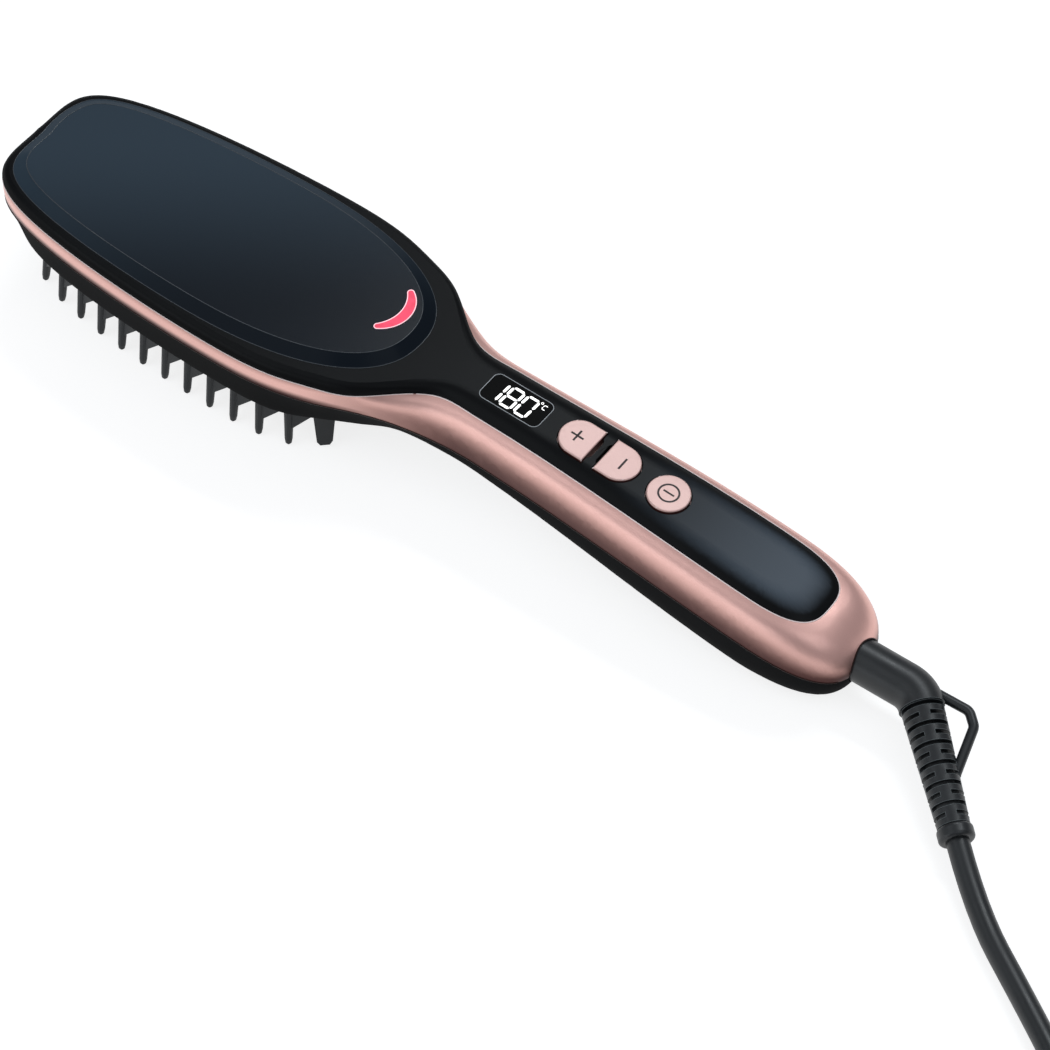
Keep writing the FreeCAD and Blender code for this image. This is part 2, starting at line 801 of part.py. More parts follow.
# Frames and heights that the control parts share, measured square to the handle's top.
control_x = neck + size.control_from_neck
control_frame = tilted(control_x)
display_frame = tilted(neck + size.display_from_neck)
tilt = control_frame.Rotation.Angle
lip_top = -size.insert_depth - size.button_lip_gap
lip_bottom = lip_top - size.button_lip_thickness
switch_top = lip_bottom - size.button_travel - size.switch_gap
board_top = switch_top - size.switch_height


def along_controls(from_neck):
    """Distance of a place on the handle from the middle of the controls, along the tilted frame."""
    return (neck + from_neck - control_x) / math.cos(tilt)


BUTTONS = {
    "plus_button": along_controls(size.plus_from_neck),
    "minus_button": along_controls(size.minus_from_neck),
    "power_button": along_controls(size.power_from_neck),
}


def at_control(along, side=0.0, height=0.0):
    """A place in the tilted frame of the controls."""
    return control_frame.multiply(Placement(Vector(along, side, height), Rotation()))


def upright(radius, low, high, x=0.0, y=0.0):
    """A standing cylinder."""
    return Part.makeCylinder(radius, high - low, Vector(x, y, low))


def lying(radius, start, finish, height, y=0.0):
    """A cylinder along the brush."""
    return Part.makeCylinder(radius, finish - start, Vector(start, y, height), Vector(1, 0, 0))


def block(x_low, x_high, y_low, y_high, z_low, z_high):
    """A box between limits on each axis."""
    return Part.makeBox(x_high - x_low, y_high - y_low, z_high - z_low, Vector(x_low, y_low, z_low))


def rocker_shape(length, width, turned, low, high):
    """The half oval of a rocker button as a prism."""
    sign = 1.0 if turned else -1.0
    hub = sign * (length - width) / 2
    straight = block(*sorted((hub, -sign * length / 2)), -width / 2, width / 2, low, high)
    return straight.fuse(upright(width / 2, low, high, hub))


def vertical(edge):
    """Whether an edge stands upright."""
    return abs(edge.tangentAt(edge.FirstParameter).z) > UPRIGHT


def rounded_block(length, width, corner, low, high):
    """A box about the origin with round upright corners."""
    plain = block(-length / 2, length / 2, -width / 2, width / 2, low, high)
    return plain.makeFillet(corner, [edge for edge in plain.Edges if vertical(edge)])


def placed(shape, placement):
    """A copy of a shape, moved."""
    moved = shape.copy()
    moved.Placement = placement.multiply(moved.Placement)
    return moved


def button_openings():
    """The holes in the top insert that the three buttons move in."""
    room = 2 * size.button_gap
    reach = size.insert_depth + CLEAR_CUT
    holes = []
    for label, turned in (("plus_button", False), ("minus_button", True)):
        hole = rocker_shape(size.rocker_length + room, size.rocker_width + room, turned, -reach, reach)
        holes.append(placed(hole, at_control(BUTTONS[label])))
    round_hole = upright((size.power_diameter + room) / 2, -reach, reach)
    holes.append(placed(round_hole, at_control(BUTTONS["power_button"])))
    return holes


def display_openings():
    """The seat of the display window, and the hole under it."""
    room = 2 * size.display_gap
    ledge = 2 * size.display_ledge
    seat = rounded_block(size.display_length + room, size.display_width + room, size.display_corner,
                         -size.display_thickness, CLEAR_CUT)
    hole = rounded_block(size.display_length - ledge, size.display_width - ledge,
                         size.display_corner - size.display_ledge / 2, -size.insert_depth - CLEAR_CUT, 0)
    return [placed(seat, display_frame), placed(hole, display_frame)]


def boss_places():
    """Where the control board is screwed on, in the tilted frame."""
    return [(along, side) for along in (size.boss_front, size.boss_rear)
            for side in (-size.boss_side, size.boss_side)]


lens_x = panel_oval.finish - size.lens_from_panel_end


def crescent(room, low, high):
    """The indicator's crescent: two arcs with round ends, bulging towards the handle."""
    half = size.lens_chord / 2 + room
    wide = size.lens_end_width
    outer = [Vector(lens_x + room, size.lens_offset + side * half, low) for side in (-1, 1)]
    inner = [Vector(lens_x - wide - room, size.lens_offset + side * (half - wide), low) for side in (-1, 1)]
    caps = []
    for side in (0, 1):
        middle = (outer[side] + inner[side]) * 0.5
        away = (outer[side] - outer[1 - side]).normalize()
        caps.append(middle + away * (wide / 2) - Vector(wide / 2, 0, 0))
    bulge = Vector(lens_x + size.lens_bulge + room, size.lens_offset, low)
    hollow = Vector(lens_x + size.lens_hollow - room, size.lens_offset, low)
    arcs = [(outer[0], bulge, outer[1]), (outer[1], caps[1], inner[1]),
            (inner[1], hollow, inner[0]), (inner[0], caps[0], outer[0])]
    wire = Part.Wire([Part.Arc(*arc).toShape() for arc in arcs])
    return Part.Face(wire).extrude(Vector(0, 0, high - low))


panel_floor = size.back_height - size.panel_recess
pocket_top = panel_floor - size.pocket_floor
panel_face = size.back_height + size.panel_crown
led_x = lens_x + size.lens_hollow
led_board_x = led_x - size.led_board_shift
led_board_top = pocket_top - size.led_height - size.led_gap


def screw_places():
    """Where the shells are screwed together: x, and the height at which the bosses meet."""
    places = [neck - size.neck_screw_before_neck, end - size.grip_screw_from_end]
    return [(x, bottom(x) + size.screw_joint_height) for x in places]


def upper_shell():
    """Back of the head and the insert on top of the handle, moulded as one cover."""
    cover = skin_solid([upper_seam, shoulder_line, crown_line])
    cover = cover.cut(panel_oval.inset(-size.panel_gap).prism(panel_floor, panel_face + CLEAR_CUT))
    pocket_oval = panel_oval.inset(size.pocket_inset)
    cover = cover.cut(pocket_oval.prism(band_height - CLEAR_CUT, pocket_top))
    bosses = []
    boss_x = led_board_x - size.led_boss_shift
    for side in (-0.5, 0.5):
        bosses.append(upright(size.led_boss_radius, led_board_top, pocket_top + EMBED, boss_x,
                              size.lens_offset + side * size.led_boss_spacing))
    for along, side in boss_places():
        bosses.append(placed(upright(size.boss_radius, board_top, -BOSS_EMBED), at_control(along, side)))
    for x, joint in screw_places():
        bosses.append(upright(size.screw_post_radius, joint, top(x) - BOSS_EMBED, x))
    cover = cover.fuse(bosses)
    openings = button_openings() + display_openings()
    openings.append(upright(size.led_hole_radius, pocket_top - CLEAR_CUT, panel_floor + CLEAR_CUT, led_x,
                            size.lens_offset))
    for along, side in boss_places():
        pilot = upright(size.board_screw_radius, board_top - CLEAR_CUT, board_top + size.board_screw_length)
        openings.append(placed(pilot, at_control(along, side)))
    for x, joint in screw_places():
        openings.append(upright(size.screw_radius, joint - CLEAR_CUT, joint + size.screw_bite, x))
    shape_part("upper_shell", cover.cut(openings))


swivel_height = size.swivel_height
bush_finish = end - size.shaft_inside - size.bush_setback
bush_start = bush_finish - size.bush_length
shaft_start = end - size.shaft_inside - size.shaft_length
ring_start = shaft_start + size.ring_setback
contact_top = swivel_height - size.ring_radius - size.contact_gap
contact_seat = contact_top - size.contact_rise - size.contact_thickness - size.contact_block_height
contact_x = ring_start + (size.ring_spacing + size.ring_width) / 2


def stub_opening():
    """The hole in the handle's end that the cord's elbow turns in."""
    return lying(size.elbow_radius + size.elbow_gap, bush_finish + size.stub_shoulder, end + CLEAR_CUT,
                 swivel_height)


def trim_band():
    """The metallic band: a narrow strip round the head that widens into the handle's sides."""
    band = skin_solid(band_skin)
    band = band.cut(skin_solid(band_cavity_levels(size.band_wall), ruled=True))
    shape_part("trim_band", band.cut(stub_opening()))


def lower_shell():
    """Under half of the handle and the wall round the bristles, with its seats and bosses."""
    floor = size.comb_thickness + size.ledge_thickness
    tub = skin_solid(lower_skin)
    core = skin_solid(lower_levels(size.shell_wall / 2, floor / 2), ruled=True)
    tub = tub.cut(skin_solid(lower_levels(size.shell_wall, floor), ruled=True))
    middle = (bush_start + bush_finish) / 2
    half = size.bulkhead_thickness / 2
    wide = size.grip_width / 2
    bulkhead = block(middle - half, middle + half, -wide, wide, 0, swivel_height - size.bulkhead_gap)
    seat_length = size.contact_block_length / 2 + size.contact_seat_margin
    seat_width = size.contact_block_width / 2 + size.contact_seat_margin
    seat = block(contact_x - seat_length, contact_x + seat_length, -seat_width, seat_width, 0, contact_seat)
    ribs = [bulkhead.common(core), seat.common(core)]
    for x, joint in screw_places():
        ribs.append(upright(size.screw_boss_radius, 0, joint, x).common(core))
    tub = tub.fuse(ribs)
    openings = [stub_opening(), lying(size.bush_radius, bush_start, bush_finish, swivel_height)]
    openings.append(bed_oval.inset(size.comb_inset).prism(rim - CLEAR_CUT, comb_top))
    openings.append(bed_oval.inset(size.ledge_inset).prism(rim - CLEAR_CUT, ledge_top + EMBED))
    for x, joint in screw_places():
        seat_height = joint - size.screw_seat
        openings.append(upright(size.screw_head_radius + size.screw_head_gap, -CLEAR_CUT, seat_height, x))
        openings.append(upright(size.screw_radius + size.screw_clearance, seat_height - EMBED,
                                joint + EMBED, x))
    shape_part("lower_shell", tub.cut(openings))


def back_panel():
    """The glossy panel: a flat plate with a wide soft bevel, pierced for the indicator."""
    plate = panel_oval.prism(panel_floor, size.back_height)
    bevel = Part.makeLoft([panel_oval.wire(size.back_height),
                           panel_oval.inset(size.panel_bevel).wire(panel_face)], True, True)
    opening = crescent(size.lens_gap, panel_floor - CLEAR_CUT, panel_face + CLEAR_CUT)
    shape_part("back_panel", plate.fuse(bevel).cut(opening))


def indicator():
    """The crescent lens, and the small board with its light under the cover."""
    shape_part("indicator_lens", crescent(0.0, panel_floor, panel_face + size.lens_proud))
    board = box("indicator_board", "sizes.led_board_length", "sizes.led_board_width",
                "sizes.led_board_thickness")
    board.Placement.Base = Vector(led_board_x - size.led_board_length / 2,
                                  size.lens_offset - size.led_board_width / 2,
                                  led_board_top - size.led_board_thickness)
    keep("indicator_board", board)
    led = box("indicator_led", "sizes.led_size", "sizes.led_size", "sizes.led_height")
    led.Placement.Base = Vector(led_x - size.led_size / 2, size.lens_offset - size.led_size / 2,
                                led_board_top)
    keep("indicator_led", led)


def highest(feature):
    """A test for the edges that bound a feature's top face."""
    doc.recompute()
    level = feature.Shape.BoundBox.ZMax
    return lambda edge: edge.BoundBox.ZMin > level - TOUCH


def display():
    """The dark window, and the lamp block with the digits that shine through it."""
    body = new_body("display_window")
    sketch = plane_sketch(body, "window_outline")
    draw_rectangle(sketch, "sizes.display_length", "sizes.display_width")
    plate = pad(body, sketch, "sizes.display_thickness", "-sizes.display_thickness")
    round_edges(body, plate, "sizes.display_corner", vertical)
    body.Placement = display_frame
    module = box("display_module", "sizes.display_length - 3 * sizes.display_ledge",
                 "sizes.display_width - 3 * sizes.display_ledge", "sizes.digits_height")
    length = size.display_length - 3 * size.display_ledge
    width = size.display_width - 3 * size.display_ledge
    module.Placement = at_control(along_controls(size.display_from_neck) - length / 2, -width / 2, board_top)
    keep("display_module", module)


LIP_DEPTH = "sizes.insert_depth + sizes.button_lip_gap + sizes.button_lip_thickness"


def buttons():
    """Two half-oval rockers and the round power key, each with a lip under the cover."""
    for label, turned in (("plus_button", False), ("minus_button", True)):
        body = new_body(label)
        cap = plane_sketch(body, label + "_cap")
        draw_rocker(cap, "sizes.rocker_length", "sizes.rocker_width", turned)
        face = pad(body, cap, f"sizes.button_proud + {LIP_DEPTH}", f"-({LIP_DEPTH})")
        face = round_edges(body, face, "sizes.button_round", highest(face))
        lip = plane_sketch(body, label + "_lip")
        draw_rocker(lip, "sizes.rocker_length + 2 * sizes.button_lip",
                    "sizes.rocker_width + 2 * sizes.button_lip", turned)
        pad(body, lip, "sizes.button_lip_thickness", f"-({LIP_DEPTH})")
        body.Placement = at_control(BUTTONS[label])
    body = new_body("power_button")
    cap = plane_sketch(body, "power_cap")
    draw_circle(cap, "sizes.power_diameter / 2")
    face = pad(body, cap, f"sizes.button_proud + {LIP_DEPTH}", f"-({LIP_DEPTH})")
    face = round_edges(body, face, "sizes.button_round", highest(face))
    lip = plane_sketch(body, "power_lip")
    draw_circle(lip, "sizes.power_diameter / 2 + sizes.button_lip")
    pad(body, lip, "sizes.button_lip_thickness", f"-({LIP_DEPTH})")
    body.Placement = at_control(BUTTONS["power_button"])


def control_board():
    """The circuit board under the buttons, its switches, screws and tall components."""
    body = new_body("control_board")
    outline = plane_sketch(body, "board_outline")
    draw_rectangle(outline, "sizes.board_length", "sizes.board_width")
    pad(body, outline, "sizes.board_thickness", "-sizes.board_thickness")
    doc.recompute()
    holes = plane_sketch(body, "board_holes")
    for along, side in boss_places():
        draw_circle(holes, "sizes.board_screw_radius", (along - size.board_shift, side))
    pocket(body, holes, "sizes.board_thickness")
    body.Placement = at_control(size.board_shift, 0, board_top)
    switches = []
    for label, along in BUTTONS.items():
        switch = box(label + "_switch", "sizes.switch_size", "sizes.switch_size", "sizes.switch_height")
        switch.Placement = at_control(along - size.switch_size / 2, -size.switch_size / 2, board_top)
        switches.append(switch)
    keep("tact_switches", group("tact_switches", *switches))
    under = board_top - size.board_thickness
    screws = []
    for i, (along, side) in enumerate(boss_places()):
        shank = cylinder(f"board_screw_shank_{i}", "sizes.board_screw_radius",
                         "sizes.board_screw_length + sizes.board_thickness - sizes.screw_end_gap")
        shank.Placement = at_control(along, side, under)
        head = cylinder(f"board_screw_head_{i}", "sizes.board_screw_head", "sizes.board_screw_radius")
        head.Placement = at_control(along, side, under - size.board_screw_radius)
        screws.append(fuse(f"board_screw_{i}", shank, head))
    keep("board_screws", group("board_screws", *screws))
    capacitor = box("mains_capacitor", "sizes.capacitor_length", "sizes.capacitor_width",
                    "sizes.capacitor_height")
    capacitor.Placement = at_control(-size.capacitor_length / 2, -size.capacitor_width / 2,
                                     under - size.capacitor_height)
    keep("mains_capacitor", capacitor)


def many_sided_pin(profile, base, direction):
    """A pin of few flat sides: (distance, radius) pairs along its axis."""
    rings = []
    for distance, radius in profile:
        corners = []
        for i in range(PIN_SIDES):
            angle = 2 * math.pi * i / PIN_SIDES
            corners.append(Vector(radius * math.cos(angle), radius * math.sin(angle), distance))
        rings.append(Part.makePolygon(corners + corners[:1]))
    pin = Part.makeLoft(rings, True, True)
    return placed(pin, Placement(base, Rotation(Vector(0, 0, 1), direction)))


def guard_pin(x, side):
    """An outer bristle that leans out, with the rib that stiffens its root."""
    row = bed_oval.inset(size.guard_inset)
    base = Vector(x, side * row.half(x), rim)
    out = row.outward(x, side)
    lean = math.radians(size.guard_splay)
    direction = (out * math.sin(lean) - Vector(0, 0, math.cos(lean))).normalize()
    length = rim / math.cos(lean)
    root, point = size.guard_root_radius, size.guard_tip_radius
    sunk = -size.comb_thickness / 2
    drop = point * math.tan(lean)
    profile = [(sunk, root)] + [(length - back * point, wide * point) for back, wide in GUARD_TIP]
    profile.append((length - drop, GUARD_POINT * point))
    pin = many_sided_pin(profile, base, direction)
    half = size.gusset_thickness / 2
    along = Vector(side * out.y, -side * out.x, 0)
    into_frame = direction * (-size.comb_thickness / 4)
    web_end = base + along * size.gusset_reach
    corners = [base + into_frame, web_end + into_frame, web_end + direction * size.gusset_end_drop,
               base + direction * size.gusset_drop]
    across = along.cross(direction).normalize()
    rib = Part.Face(Part.makePolygon([corner - across * half for corner in corners + corners[:1]]))
    return pin.fuse(rib.extrude(across * 2 * half))


def guard_fin(side):
    """The broad short fin that ends each outer row at the neck."""
    row = bed_oval.inset(size.fin_inset)
    x = bed_oval.finish - size.fin_from_bed_end
    out = row.outward(x, side)
    along = Vector(side * out.y, -side * out.x, 0)
    base = Vector(x, side * row.half(x), rim)
    down = out * math.tan(math.radians(size.guard_splay)) - Vector(0, 0, 1)
    half, thick = size.fin_width / 2, size.fin_thickness / 2
    deep, sunk = size.fin_length, -size.comb_thickness / 2
    ahead, ahead_low, back_low, back = [share * half for share in FIN_CORNERS]
    outline = [(-half, sunk), (half, sunk), (half, 0), (ahead, deep - thick), (ahead_low, deep),
               (back_low, deep), (back, deep - thick), (-half, 0)]
    corners = [base + along * reach + down * depth - out * thick for reach, depth in outline]
    return Part.Face(Part.makePolygon(corners + corners[:1])).extrude(out * 2 * thick)


def guard_places():
    """The outer bristles, as many as the bed has room for, on both sides."""
    first = tip + size.guard_first
    room = bed_oval.finish - size.guard_last_gap - first
    count = int(room / size.guard_pitch) + 1
    return [(first + i * size.guard_pitch, side) for i in range(count) for side in (-1, 1)]


def guard_comb():
    """The nylon frame under the head with the outer row of guard bristles."""
    frame = bed_oval.inset(size.comb_inset + size.comb_gap).prism(rim, comb_top)
    frame = frame.cut(bed_oval.inset(size.bed_inset).prism(rim - CLEAR_CUT, comb_top + CLEAR_CUT))
    pins = [guard_pin(x, side) for x, side in guard_places()]
    pins += [guard_fin(side) for side in (-1, 1)]
    shape_part("guard_comb", frame.fuse(pins))


def bristle_places():
    """Staggered rows of heated bristles that stay clear of the bed's edge."""
    bed = bed_oval.inset(size.bed_inset + 2 * size.bristle_root_radius)
    places = []
    for row in (-1, 0, 1):
        x = bed.start + size.bristle_pitch * (0.5 if row == 0 else 1.0)
        while x < bed.finish:
            if bed.half(x) > abs(row) * size.bristle_row_gap:
                places.append((x, row * size.bristle_row_gap))
            x += size.bristle_pitch
    return places


bed_face = rim + size.bed_recess
bristle_end = size.bristle_clear + size.cool_tip_length


def heater_plate():
    """The cast heating plate with its rows of heated bristles."""
    plate = bed_oval.inset(size.bed_inset + size.bed_gap).prism(bed_face, comb_top + EMBED)
    flange = bed_oval.inset(size.ledge_inset + size.bed_gap).prism(comb_top, ledge_top)
    plate = flange.fuse(plate)
    length = bed_face - bristle_end
    profile = [(-EMBED, size.bristle_root_radius), (length, size.bristle_tip_radius)]
    down = Vector(0, 0, -1)
    bristles = [many_sided_pin(profile, Vector(x, y, bed_face), down) for x, y in bristle_places()]
    plate = plate.fuse(bristles)
    hole = size.clamp_screw_bite + size.clamp_hole_gap
    for x in clamp_feet():
        plate = plate.cut(upright(size.clamp_screw_radius, ledge_top - hole, ledge_top + CLEAR_CUT, x))
    shape_part("heater_plate", plate)


def cool_tips():
    """The moulded tips that keep the heated bristles off the scalp."""
    wide, length = size.cool_tip_radius, size.cool_tip_length
    profile = [(along * length, share * wide) for along, share in COOL_TIP]
    tips = [many_sided_pin(profile, Vector(x, y, bristle_end), Vector(0, 0, -1)) for x, y in bristle_places()]
    shape_part("cool_tips", Part.Compound(tips))


heater_x = (bed_oval.start + bed_oval.finish) / 2
heater_top = ledge_top + size.heater_thickness
clamp_top = heater_top + size.clamp_thickness
flange_length = bed_oval.finish - bed_oval.start - 2 * (size.ledge_inset + size.bed_gap)
clamp_reach = flange_length / 2 - size.clamp_end_gap - size.clamp_foot / 2
BED_LENGTH = "sizes.head_length - sizes.tip_tuck - sizes.bed_neck_gap"
CLAMP_LENGTH = f"{BED_LENGTH} - 2 * (sizes.ledge_inset + sizes.bed_gap + sizes.clamp_end_gap)"
HEATER_LENGTH = f"({CLAMP_LENGTH} - sizes.clamp_foot) / 2 - sizes.clamp_foot - 2 * sizes.heater_gap"


def clamp_feet():
    """Where the clamp strip stands on the heating plate."""
    return [heater_x - clamp_reach, heater_x, heater_x + clamp_reach]


def heater_stack():
    """Two ceramic heaters, the strip that clamps them, its screws, and the two sensors."""
    heaters = []
    for side in (-0.5, 0.5):
        slab = box("heater_slab", HEATER_LENGTH, "sizes.heater_width", "sizes.heater_thickness")
        length = clamp_reach - size.clamp_foot - 2 * size.heater_gap
        slab.Placement.Base = Vector(heater_x + side * clamp_reach - length / 2,
                                     -size.heater_width / 2, ledge_top)
        heaters.append(slab)
    keep("ceramic_heaters", group("ceramic_heaters", *heaters))
    strip = box("clamp_strip", CLAMP_LENGTH, "sizes.clamp_width", "sizes.clamp_thickness")
    strip.Placement.Base = Vector(heater_x - clamp_reach - size.clamp_foot / 2, -size.clamp_width / 2,
                                  heater_top)
    pieces = [strip]
    for x in clamp_feet():
        foot = box("clamp_foot", "sizes.clamp_foot", "sizes.clamp_width", "sizes.heater_thickness")
        foot.Placement.Base = Vector(x - size.clamp_foot / 2, -size.clamp_width / 2, ledge_top)
        pieces.append(foot)
    holes = []
    screws = []
    for i, x in enumerate(clamp_feet()):
        hole = cylinder("clamp_hole", "sizes.clamp_screw_radius",
                        "2 * (sizes.heater_thickness + sizes.clamp_thickness)")
        hole.Placement.Base = Vector(x, 0, ledge_top - size.clamp_thickness)
        holes.append(hole)
        shank = cylinder("clamp_screw_shank", "sizes.clamp_screw_radius",
                         "sizes.heater_thickness + sizes.clamp_thickness + sizes.clamp_screw_bite")
        shank.Placement.Base = Vector(x, 0, ledge_top - size.clamp_screw_bite)
        head = cylinder("clamp_screw_head", "sizes.clamp_screw_head", "sizes.clamp_screw_head_height")
        head.Placement.Base = Vector(x, 0, clamp_top)
        screws.append(fuse(f"clamp_screw_{i}", shank, head))
    clamp = cut("heater_clamp", fuse("clamp_blank", *pieces), fuse("clamp_holes", *holes))
    keep("heater_clamp", clamp)
    keep("clamp_screws", group("clamp_screws", *screws))
    fuse_link = cylinder("thermal_fuse", "sizes.fuse_radius", "sizes.fuse_length")
    fuse_link.Placement = Placement(
        Vector(heater_x - clamp_reach / 2 - size.fuse_length / 2, 0, clamp_top + size.fuse_radius),
        Rotation(Vector(0, 1, 0), 90))
    keep("thermal_fuse", fuse_link)
    sensor = box("thermistor", "sizes.thermistor_length", "sizes.thermistor_width",
                 "sizes.thermistor_height")
    sensor.Placement.Base = Vector(heater_x + clamp_reach / 2, size.heater_width / 2 + size.thermistor_gap,
                                   ledge_top)
    keep("thermistor", sensor)


def heat_shield():
    """The insulating sheet between the heater and the back, on six short legs."""
    oval = bed_oval.inset(size.shield_inset)
    low = ledge_top + size.shield_height
    legs = []
    for step in (-1, 0, 1):
        x = heater_x + step * size.shield_leg_spread
        row = bed_oval.inset((size.comb_inset + size.shell_wall + size.ledge_inset) / 2 - size.shield_leg_shift)
        for side in (-1, 1):
            legs.append(upright(size.shield_leg_radius, ledge_top, low + EMBED, x, side * row.half(x)))
    shape_part("heat_shield", oval.prism(low, low + size.shield_thickness).fuse(legs))


def housing_screws():
    """The two screws that pull the lower shell up against the cover."""
    screws = []
    for i, (x, joint) in enumerate(screw_places()):
        seat = joint - size.screw_seat
        head = cylinder("housing_screw_head", "sizes.screw_head_radius", "sizes.screw_head_height")
        head.Placement.Base = Vector(x, 0, seat - size.screw_head_height)
        shank = cylinder("housing_screw_shank", "sizes.screw_radius",
                         "sizes.screw_seat + sizes.screw_bite - sizes.screw_end_gap")
        shank.Placement.Base = Vector(x, 0, seat)
        screws.append(fuse(f"housing_screw_{i}", head, shank))
    keep("housing_screws", group("housing_screws", *screws))


def swivel():
    """The turning core of the cord's joint, its bush, slip rings and sprung contacts."""
    axis = Rotation(Vector(0, 1, 0), 90)
    bush = new_body("swivel_bush")
    section = plane_sketch(bush, "bush_section")
    draw_circle(section, "sizes.bush_radius")
    draw_circle(section, "sizes.shaft_radius + sizes.running_gap")
    pad(bush, section, "sizes.bush_length")
    bush.Placement = Placement(Vector(bush_start, 0, swivel_height), axis)
    core = new_body("swivel_core")
    profile = plane_sketch(core, "core_profile", "XZ_Plane")
    collar_end = bush_start - size.collar_gap - shaft_start
    collar_start = collar_end - size.collar_thickness
    draw_profile(profile, [(0, 0), (size.shaft_radius, 0), (size.shaft_radius, collar_start),
                           (size.collar_radius, collar_start), (size.collar_radius, collar_end),
                           (size.shaft_radius, collar_end), (size.shaft_radius, size.shaft_length),
                           (0, size.shaft_length)])
    revolve(core, profile, "V_Axis")
    core.Placement = Placement(Vector(shaft_start, 0, swivel_height), axis)
    rings = []
    for step in (0, 1):
        outer = cylinder("ring_outer", "sizes.ring_radius", "sizes.ring_width")
        inner = cylinder("ring_inner", "sizes.shaft_radius", "sizes.ring_width")
        place = Placement(Vector(ring_start + step * size.ring_spacing, 0, swivel_height), axis)
        outer.Placement = place
        inner.Placement = place
        rings.append(cut(f"slip_ring_{step}", outer, inner))
    keep("slip_rings", group("slip_rings", *rings))
    carrier = box("contact_block", "sizes.contact_block_length", "sizes.contact_block_width",
                  "sizes.contact_block_height")
    carrier.Placement.Base = Vector(contact_x - size.contact_block_length / 2, -size.contact_block_width / 2,
                                    contact_seat)
    keep("contact_block", carrier)
    leaves = []
    for step in (0, 1):
        x = ring_start + step * size.ring_spacing + (size.ring_width - size.contact_width) / 2
        low = contact_seat + size.contact_block_height
        leaf = block(x, x + size.contact_width, -size.contact_length / 2, size.contact_length / 2,
                     low, low + size.contact_thickness)
        bump = block(x, x + size.contact_width, -size.contact_arch / 2, size.contact_arch / 2,
                     low, contact_top)
        leaves.append(leaf.fuse(bump))
    shape_part("contact_springs", Part.Compound(leaves))


elbow_corner = Vector(end + size.elbow_reach, 0, swivel_height)
bend_angle = math.radians(size.elbow_bend)
roll_angle = math.radians(size.elbow_roll)
sleeve_axis = Vector(math.cos(bend_angle), -math.sin(bend_angle) * math.cos(roll_angle),
                     -math.sin(bend_angle) * math.sin(roll_angle))
forward = Vector(1, 0, 0)
loop_side = (forward - sleeve_axis * forward.dot(sleeve_axis)).normalize()
sleeve_end = elbow_corner + sleeve_axis * size.sleeve_length


def round_path(points, share=0.45, radius=None):
    """Straight runs joined by tangent arcs, as large as their runs allow or of one radius."""
    edges = []
    radii = []
    start = points[0]
    for before, corner, after in zip(points, points[1:], points[2:]):
        back = (before - corner).normalize()
        ahead = (after - corner).normalize()
        half_turn = (math.pi - back.getAngle(ahead)) / 2
        reach = share * min((before - corner).Length, (after - corner).Length)
        if radius is not None:
            reach = radius * math.tan(half_turn)
        bend = reach / math.tan(half_turn)
        middle = corner + (back + ahead).normalize() * (bend / math.cos(half_turn) - bend)
        edges.append(Part.LineSegment(start, corner + back * reach).toShape())
        edges.append(Part.Arc(corner + back * reach, middle, corner + ahead * reach).toShape())
        start = corner + ahead * reach
        radii.append(bend)
    edges.append(Part.LineSegment(start, points[-1]).toShape())
    return Part.Wire(edges), radii


def tube(path, radius, direction):
    """A round tube along a path that starts in a given direction."""
    circle = Part.Wire([Part.makeCircle(radius, path.Vertexes[0].Point, direction)])
    return path.makePipeShell([circle], True, False)


def sleeve_slots(cone_length):
    """Pairs of slots that leave a bending spine, turned a quarter from row to row."""
    slots = []
    reach = 2 * size.sleeve_root_radius
    for row in range(2 * SLOT_PAIRS):
        low = size.slot_first + row * size.slot_pitch
        if low + size.slot_width > cone_length:
            break
        quarter = 90 * (row % 2)
        for side in (-1, 1):
            flat = sorted((side * size.slot_land, side * reach))
            slot = block(-reach, reach, *flat, low, low + size.slot_width)
            slot = slot.cut(upright(size.slot_floor, low - EMBED, low + size.slot_width + EMBED))
            slots.append(placed(slot, Placement(Vector(), Rotation(Vector(0, 0, 1), quarter))))
    return slots


def strain_relief():
    """The rubber moulding on the cord: elbow, tapered slotted sleeve and hang loop."""
    start = size.elbow_bend_radius * math.tan(bend_angle / 2) + size.sleeve_setback
    path, _ = round_path([Vector(end - size.shaft_inside, 0, swivel_height), elbow_corner,
                          elbow_corner + sleeve_axis * (start + EMBED)], radius=size.elbow_bend_radius)
    elbow = tube(path, size.elbow_radius, forward)
    cone_length = size.sleeve_length - start - size.sleeve_collar_length
    cone = Part.makeCone(size.sleeve_root_radius, size.sleeve_end_radius, cone_length, Vector(0, 0, start))
    cone = cone.cut(sleeve_slots(start + cone_length))
    collar = upright(size.sleeve_collar_radius, start + cone_length, size.sleeve_length)
    collar = collar.makeFillet(size.sleeve_collar_round, [edge for edge in collar.Edges if edge.Closed])
    turn = Rotation(loop_side, sleeve_axis.cross(loop_side), sleeve_axis, "ZXY")
    sleeve = placed(cone.fuse(collar), Placement(elbow_corner, turn))
    outline = [(-size.loop_root_setback, 0), (size.loop_top_start, size.loop_start_reach),
               (size.loop_top_end, size.loop_reach), (size.loop_far_root, size.loop_far_depth)]
    points = [elbow_corner + sleeve_axis * along + loop_side * out for along, out in outline]
    loop_path, _ = round_path(points, radius=size.loop_round)
    loop = tube(loop_path, size.loop_rod_radius, points[1] - points[0])
    shape_part("strain_relief", elbow.fuse([sleeve, loop]))


